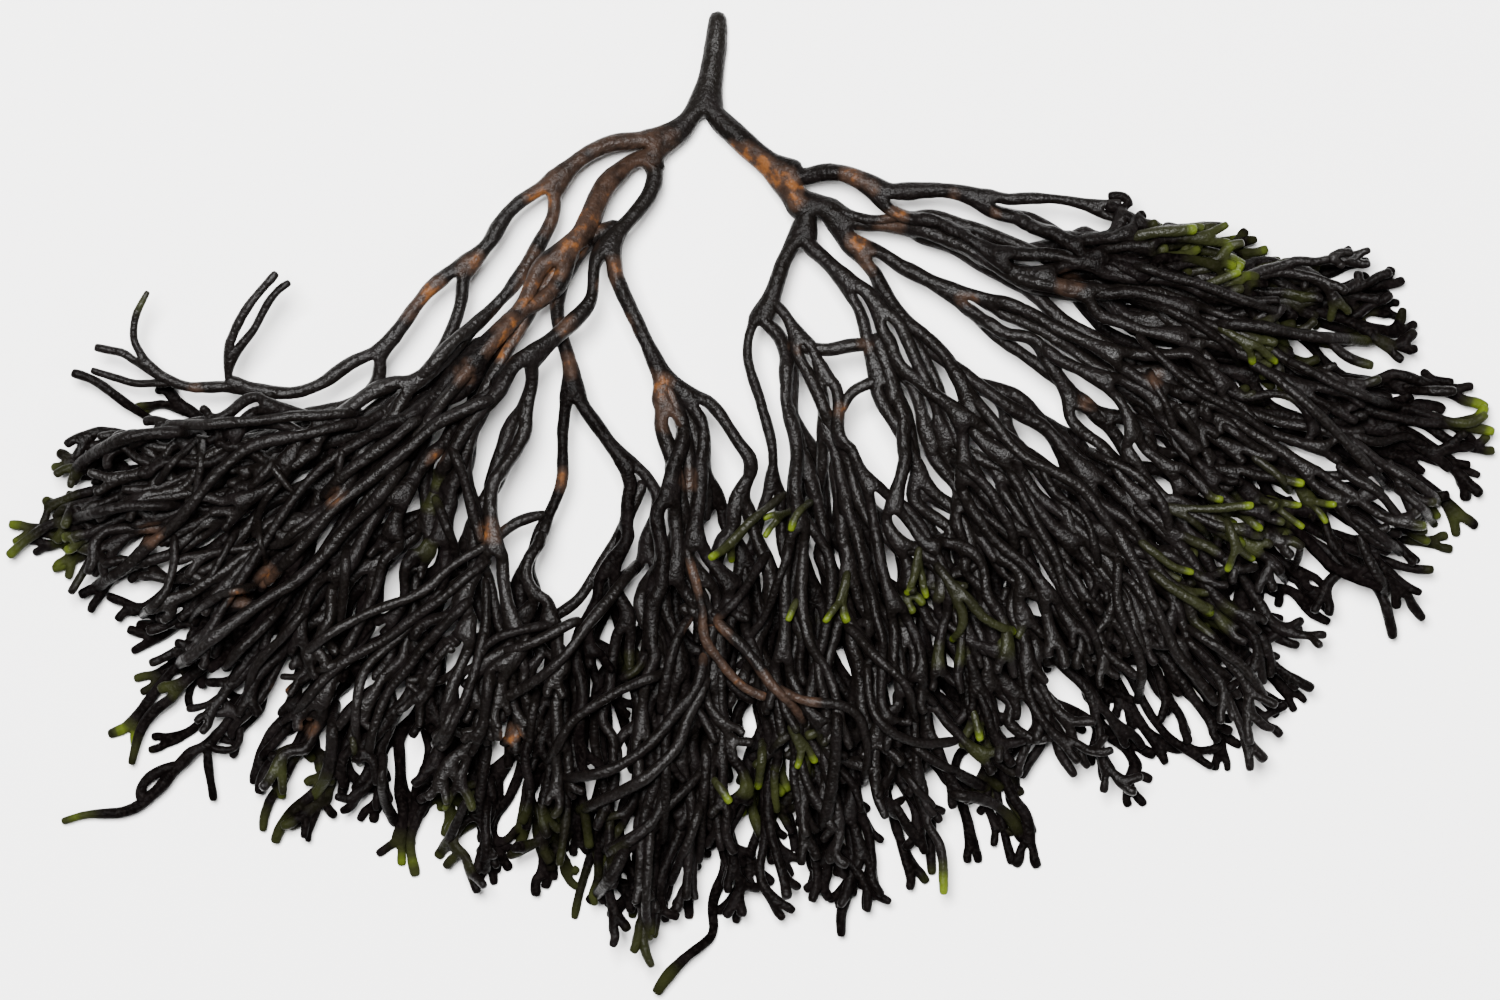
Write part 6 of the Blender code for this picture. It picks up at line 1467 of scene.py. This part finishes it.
class Pile:
    """The upper side of the weed that is grown so far."""

    def __init__(self, pieces):
        self.surfaces = []
        for piece in pieces:
            points = [vertex.co for vertex in piece.data.vertices]
            faces = [tuple(face.vertices) for face in piece.data.polygons]
            self.surfaces.append(BVHTree.FromPolygons(points, faces))

    def top(self, place):
        """The height of the weed at a place on the plan, or none where it has a gap."""
        above = Vector((place.x, place.y, PILE_TOP))
        hits = [surface.ray_cast(above, Vector((0.0, 0.0, -1.0)))[0] for surface in self.surfaces]
        return max((hit.z for hit in hits if hit), default=0.0)

    def root(self, place, radius):
        """The nearest place inside a strand of the weed, for a laid strand to start from."""
        for reach in range(SEARCH_REACH):
            for turn in range(SIDES if reach else 1):
                angle = 2.0 * math.pi * turn / SIDES
                spot = place + Vector((math.cos(angle), math.sin(angle), 0.0)) * reach * SEARCH_STEP
                height = self.top(spot)
                if height > radius:
                    return Vector((spot.x, spot.y, height - ROOT_DEPTH * radius))
        raise ValueError("no weed near a laid strand's start")

    def laid_strand(self, start, places, twigs, radius, tone, dives=False):
        """A strand over the pile through places on the plan, with twigs at its end. It may dive in again."""
        plan = [flat(start)] + [at(u, v, 0.0) for u, v in places]
        course = Course(plan, [radius] * len(plan))
        steps = max(2, round(course.length / LAID_STEP))
        points = [course.at(course.length * i / steps)[0] for i in range(steps + 1)]
        floors = []
        for i, point in enumerate(points):
            way = (points[min(i + 1, steps)] - points[max(i - 1, 0)]).normalized()
            aside = Vector((-way.y, way.x, 0.0))
            if i:
                point += aside * WANDER * noise.noise(point / WANDER_SIZE)
            below = [self.top(point + aside * share * radius) for share in (-LAID_WIDTH, 0.0, LAID_WIDTH)]
            floors.append(max(below) + LAID_HEIGHT * radius)
        if dives:
            floors[-1] -= DIVE * radius
            floors[-2] -= 0.5 * DIVE * radius
        heights = [start.z] + floors[1:]
        for _ in range(LAID_PASSES):
            for i in range(1, steps):
                heights[i] = max(floors[i], 0.5 * (heights[i - 1] + heights[i + 1]))
        for point, height in zip(points, heights):
            point.z = height
        forks = [
            self.laid_strand(points[-1], twig_places, [], radius * TWIG_WIDTH, tone) for twig_places in twigs]
        strand = Strand(points, [radius] * len(points), forks)
        strand.tone = tone
        return strand


def joined(run):
    """The points, radii and branches of a run and of those that go on from it without a fork."""
    points = [point.copy() for point in run.points]
    radii = list(run.radii)
    while len(run.forks) == 1:
        run = run.forks[0]
        points += run.points[1:]
        radii += run.radii[1:]
    return points, radii, run.forks


def cut_share(points, radii, low, high):
    """The part of a stretch between two shares of its points."""
    first, last = round(low * (len(points) - 1)), round(high * (len(points) - 1))
    last = max(last, first + 1)
    return points[first:last + 1], radii[first:last + 1]


def whole_strand(run):
    """A run and all that grows from it, as one piece."""
    points, radii, forks = joined(run)
    if not forks:
        return tip_strand(points, radii)
    return Strand(points, radii, [whole_strand(fork) for fork in forks])


def tip_strand(points, radii):
    """A strand that ends in a tip, and may bear a short bud before it."""
    whole = Course(points, radii)
    place = whole.length * bud_rng.uniform(*BUD_PLACE)
    length = bud_rng.uniform(*BUD_LENGTH)
    angle = math.radians(bud_rng.uniform(*BUD_ANGLE)) * bud_rng.choice((-1.0, 1.0))
    if bud_rng.random() > BUD_SHARE or whole.length < BUD_ROOM:
        return Strand(points, radii, [])
    joint, width = whole.at(place)
    reach = whole.lengths[::COURSE_STEPS]
    before = [i for i in range(len(points)) if reach[i] < place - JOINT_ROOM] or [0]
    after = [i for i in range(len(points)) if reach[i] > place + JOINT_ROOM] or [len(points) - 1]
    way = (whole.at(place + JOINT_ROOM)[0] - joint).normalized()
    away = Quaternion((0.0, 0.0, 1.0), angle) @ way
    bud = Strand([joint, joint + away * length], [width, width * BUD_WIDTH], [])
    rest = Strand([joint] + [points[i] for i in after], [width] + [radii[i] for i in after], [])
    return Strand([points[i] for i in before] + [joint], [radii[i] for i in before] + [width], [rest, bud])


def limb_strand(run, sprays):
    """A limb and its branches. Where a spray goes on from it, their strands overlap."""
    points = [point.copy() for point in run.points]
    radii = list(run.radii)
    while len(run.forks) == 1 and run.forks[0].is_limb:
        run = run.forks[0]
        points += run.points[1:]
        radii += run.radii[1:]
    if len(run.forks) == 1:
        return spray_base(points, radii, run.forks[0], sprays)
    forks = []
    for fork in run.forks:
        if fork.is_limb:
            forks.append(limb_strand(fork, sprays))
        else:
            forks.append(spray_base([fork.points[0]], [fork.radii[0]], fork, sprays))
    return Strand(points, radii, forks)


def spray_base(points, radii, run, sprays):
    """A limb that goes on as the base of the spray at its end. The rest of the spray is for another piece."""
    low, high = CUT_SHARE
    spray_points, spray_radii, forks = joined(run)
    base_points, base_radii = cut_share(spray_points, spray_radii, 0.0, high)
    rest_points, rest_radii = cut_share(spray_points, spray_radii, low, 1.0)
    spray = Strand(rest_points, rest_radii, [whole_strand(fork) for fork in forks])
    sprays.append(spray)
    return Strand(points + base_points[1:], radii + base_radii[1:], [], spray)


# The sizes of the clouds, the felt and the flecks in the tissue's colour, and how fine their detail goes
CLOUD_SIZE = 6.0 * MM
FELT_SIZE = 0.9 * MM
FLECK_SIZE = 2.2 * MM
NOISE_DETAIL = 3.0


def linear(code):
    """The linear red, green and blue of an sRGB hex colour."""
    parts = [int(code[i:i + 2], 16) / 255.0 for i in (1, 3, 5)]
    return (*[part / 12.92 if part <= 0.04045 else ((part + 0.055) / 1.055) ** 2.4 for part in parts], 1.0)


def add_node(tree, kind, inputs=None, **settings):
    """A node with its settings, and its inputs given as values or as the outputs they are linked to."""
    node = tree.nodes.new(kind)
    for name, value in settings.items():
        setattr(node, name, value)
    for name, value in (inputs or {}).items():
        if isinstance(value, bpy.types.NodeSocket):
            tree.links.new(value, node.inputs[name])
        else:
            node.inputs[name].default_value = value
    return node


def codium_tissue():
    """Damp, felted algal tissue: near-black, with a warm grey bloom, rusty patches and green tips."""
    material = bpy.data.materials.new("damp_codium_tissue")
    material.use_nodes = True
    tree = material.node_tree
    shader = tree.nodes["Principled BSDF"]
    place = add_node(tree, "ShaderNodeTexCoord").outputs["Object"]
    growth = add_node(tree, "ShaderNodeAttribute", attribute_name="growth").outputs
    # Blue is the bloom, with painted shade low in the pile
    shares = add_node(tree, "ShaderNodeSeparateColor", {"Color": growth["Color"]}).outputs
    # Cloudy lighter areas a few strands wide
    clouds = add_node(
        tree, "ShaderNodeTexNoise",
        {"Vector": place, "Scale": 1.0 / CLOUD_SIZE, "Detail": NOISE_DETAIL}).outputs["Fac"]
    # The felt of the surface: real utricles are 0.3 mm wide, drawn three times as coarse so that they show
    felt = add_node(
        tree, "ShaderNodeTexNoise",
        {"Vector": place, "Scale": 1.0 / FELT_SIZE, "Detail": NOISE_DETAIL}).outputs["Fac"]
    # Flecks of rust, and wrinkles, about half as wide as a strand
    flecks = add_node(
        tree, "ShaderNodeTexNoise",
        {"Vector": place, "Scale": 1.0 / FLECK_SIZE, "Detail": NOISE_DETAIL}).outputs["Fac"]
    # Bloom greys a strand a little, and an old limb more. Where the bloom is missing low in the pile, the
    # near-black is painted shade
    painted_shade_and_bloom = add_node(
        tree, "ShaderNodeMix", {0: shares["Blue"], 6: linear("#030202"), 7: linear("#080605")},
        data_type="RGBA")
    old = add_node(
        tree, "ShaderNodeMix", {0: growth["Alpha"], 6: painted_shade_and_bloom.outputs[2], 7: linear("#0e0c0a")},
        data_type="RGBA")
    cloud_share = add_node(tree, "ShaderNodeMapRange", {"Value": clouds, "From Min": 0.45, "From Max": 0.8})
    clouded = add_node(
        tree, "ShaderNodeMix", {0: cloud_share.outputs["Result"], 6: old.outputs[2], 7: linear("#0c0909")},
        data_type="RGBA")
    felt_share = add_node(tree, "ShaderNodeMapRange", {"Value": felt, "From Min": 0.5, "From Max": 0.85})
    felted = add_node(
        tree, "ShaderNodeMix", {0: felt_share.outputs["Result"], 6: clouded.outputs[2], 7: linear("#120f0e")},
        data_type="RGBA")
    # Old limbs are brown where they dried, with small orange flecks
    brown_edge = add_node(tree, "ShaderNodeMath", {0: shares["Green"], 1: flecks}, operation="MULTIPLY")
    brown_share = add_node(
        tree, "ShaderNodeMapRange", {"Value": brown_edge.outputs[0], "From Min": 0.08, "From Max": 0.36})
    browned = add_node(
        tree, "ShaderNodeMix", {0: brown_share.outputs["Result"], 6: felted.outputs[2], 7: linear("#261b15")},
        data_type="RGBA")
    rust_share = add_node(
        tree, "ShaderNodeMapRange", {"Value": brown_edge.outputs[0], "From Min": 0.4, "From Max": 0.6})
    rusted = add_node(
        tree, "ShaderNodeMix", {0: rust_share.outputs["Result"], 6: browned.outputs[2], 7: linear("#4c2e16")},
        data_type="RGBA")
    # Young tips are olive, and yellow-green at their very ends
    olive_share = add_node(
        tree, "ShaderNodeMapRange", {"Value": shares["Red"], "From Min": 0.04, "From Max": 0.45})
    olive = add_node(
        tree, "ShaderNodeMix", {0: olive_share.outputs["Result"], 6: rusted.outputs[2], 7: linear("#1b1d0c")},
        data_type="RGBA")
    bright_share = add_node(
        tree, "ShaderNodeMapRange", {"Value": shares["Red"], "From Min": 0.5, "From Max": 0.95})
    bright = add_node(
        tree, "ShaderNodeMix", {0: bright_share.outputs["Result"], 6: olive.outputs[2], 7: linear("#424e0e")},
        data_type="RGBA")
    tree.links.new(bright.outputs[2], shader.inputs["Base Color"])
    rough = add_node(tree, "ShaderNodeMapRange", {"Value": clouds, "To Min": 0.3, "To Max": 0.5})
    tree.links.new(rough.outputs["Result"], shader.inputs["Roughness"])
    shader.inputs["IOR"].default_value = 1.38
    # Felt holds most of the shine back, and more so on some strands than on others. Low in the pile the shine
    # is also taken away, as painted shade
    shine_and_painted_shade = add_node(tree, "ShaderNodeMapRange", {"Value": shares["Blue"], "To Min": 0.0, "To Max": 0.16})
    tree.links.new(shine_and_painted_shade.outputs["Result"], shader.inputs["Specular IOR Level"])
    wrinkles = add_node(tree, "ShaderNodeBump", {"Height": flecks, "Strength": 1.0, "Distance": 0.5 * MM})
    bump = add_node(
        tree, "ShaderNodeBump",
        {"Height": felt, "Strength": 1.0, "Distance": 0.3 * MM, "Normal": wrinkles.outputs["Normal"]})
    tree.links.new(bump.outputs["Normal"], shader.inputs["Normal"])
    return material


def floor_material():
    """Matt white paper."""
    material = bpy.data.materials.new("white_paper")
    material.use_nodes = True
    shader = material.node_tree.nodes["Principled BSDF"]
    shader.inputs["Base Color"].default_value = linear("#f8f7f6")
    shader.inputs["Roughness"].default_value = 0.9
    return material


def lay_floor():
    """The pale surface that the weed lies on."""
    bpy.ops.mesh.primitive_plane_add(size=FLOOR_SIZE)
    floor = bpy.context.active_object
    floor.name = "floor"
    floor.data.materials.append(floor_material())
    floor.select_set(False)


def softbox(name, place, size, power):
    """A square studio light that points at the weed."""
    lamp = bpy.data.lights.new(name, "AREA")
    lamp.shape = "SQUARE"
    lamp.size = size
    lamp.energy = power
    light = bpy.data.objects.new(name, lamp)
    light.location = place
    light.rotation_euler = (-Vector(place)).to_track_quat("-Z", "Y").to_euler()
    bpy.context.scene.collection.objects.link(light)


def light_studio():
    """Soft light from above, a little to the stalk's side and the left, and a weak one from opposite it."""
    world = bpy.data.worlds.new("studio")
    world.use_nodes = True
    background = world.node_tree.nodes["Background"]
    background.inputs["Color"].default_value = (1.0, 1.0, 1.0, 1.0)
    background.inputs["Strength"].default_value = 0.06
    bpy.context.scene.world = world
    softbox("top", place=(-0.25, 0.45, 2.3), size=0.8, power=300.0)
    softbox("side", place=(1.2, -0.6, 1.8), size=1.2, power=18.0)


def place_camera():
    """A long lens straight above, with the photograph's frame."""
    camera = bpy.data.cameras.new("camera")
    camera.sensor_width = 36.0
    camera.lens = camera.sensor_width * CAMERA_HEIGHT / PHOTO_WIDTH
    camera.clip_end = 10.0
    holder = bpy.data.objects.new("camera", camera)
    holder.location = (0.0, 0.0, CAMERA_HEIGHT)
    bpy.context.scene.collection.objects.link(holder)
    bpy.context.scene.camera = holder


def tips_across(strand):
    """How far towards +X each of a strand's tips is."""
    if not strand.forks:
        return [strand.course.points[-1].x]
    return [x for fork in strand.forks for x in tips_across(fork)]


def make_pieces(tissue):
    """Grows the weed: its limbs, its sprays shared out evenly among five pieces, and what lies on them."""
    sprays = []
    limbs = Cage("limbs", "limbs")
    for root in grow_thallus():
        strand = limb_strand(root, sprays)
        strand.tone = 1.0
        limbs.start(strand)
    grown_pieces = [limbs.finish(tissue)]
    sprays.sort(key=lambda spray: mean(tips_across(spray)))
    whole = sum(spray.total for spray in sprays)
    grown = 0.0
    pieces = [Cage(name, name) for name in SPRAY_PIECES]
    for spray in sprays:
        place = int((grown + 0.5 * spray.total) / whole * len(pieces))
        pieces[place].start(spray)
        grown += spray.total
    grown_pieces += [piece.finish(tissue) for piece in pieces]
    pile = Pile(grown_pieces)
    top_strands = Cage("top_strands", "top strands", rust=RUST_PATCHES + TAN_PATCHES)
    for radius, tone, places in TOP_STRANDS:
        start = pile.root(at(*places[0], 0.0), radius * MM)
        top_strands.start(pile.laid_strand(start, places[1:], [], radius * MM, tone, dives=True))
    top_strands.finish(tissue)
    green_shoots = Cage("green_shoots", "green shoots", rust=[], is_fresh=True)
    for radius, places, twigs in GREEN_SHOOTS:
        start = pile.root(at(*places[0], 0.0), radius * MM)
        green_shoots.start(pile.laid_strand(start, places[1:], twigs, radius * MM, 1.0))
    green_shoots.finish(tissue)


make_pieces(codium_tissue())
lay_floor()
light_studio()
place_camera()
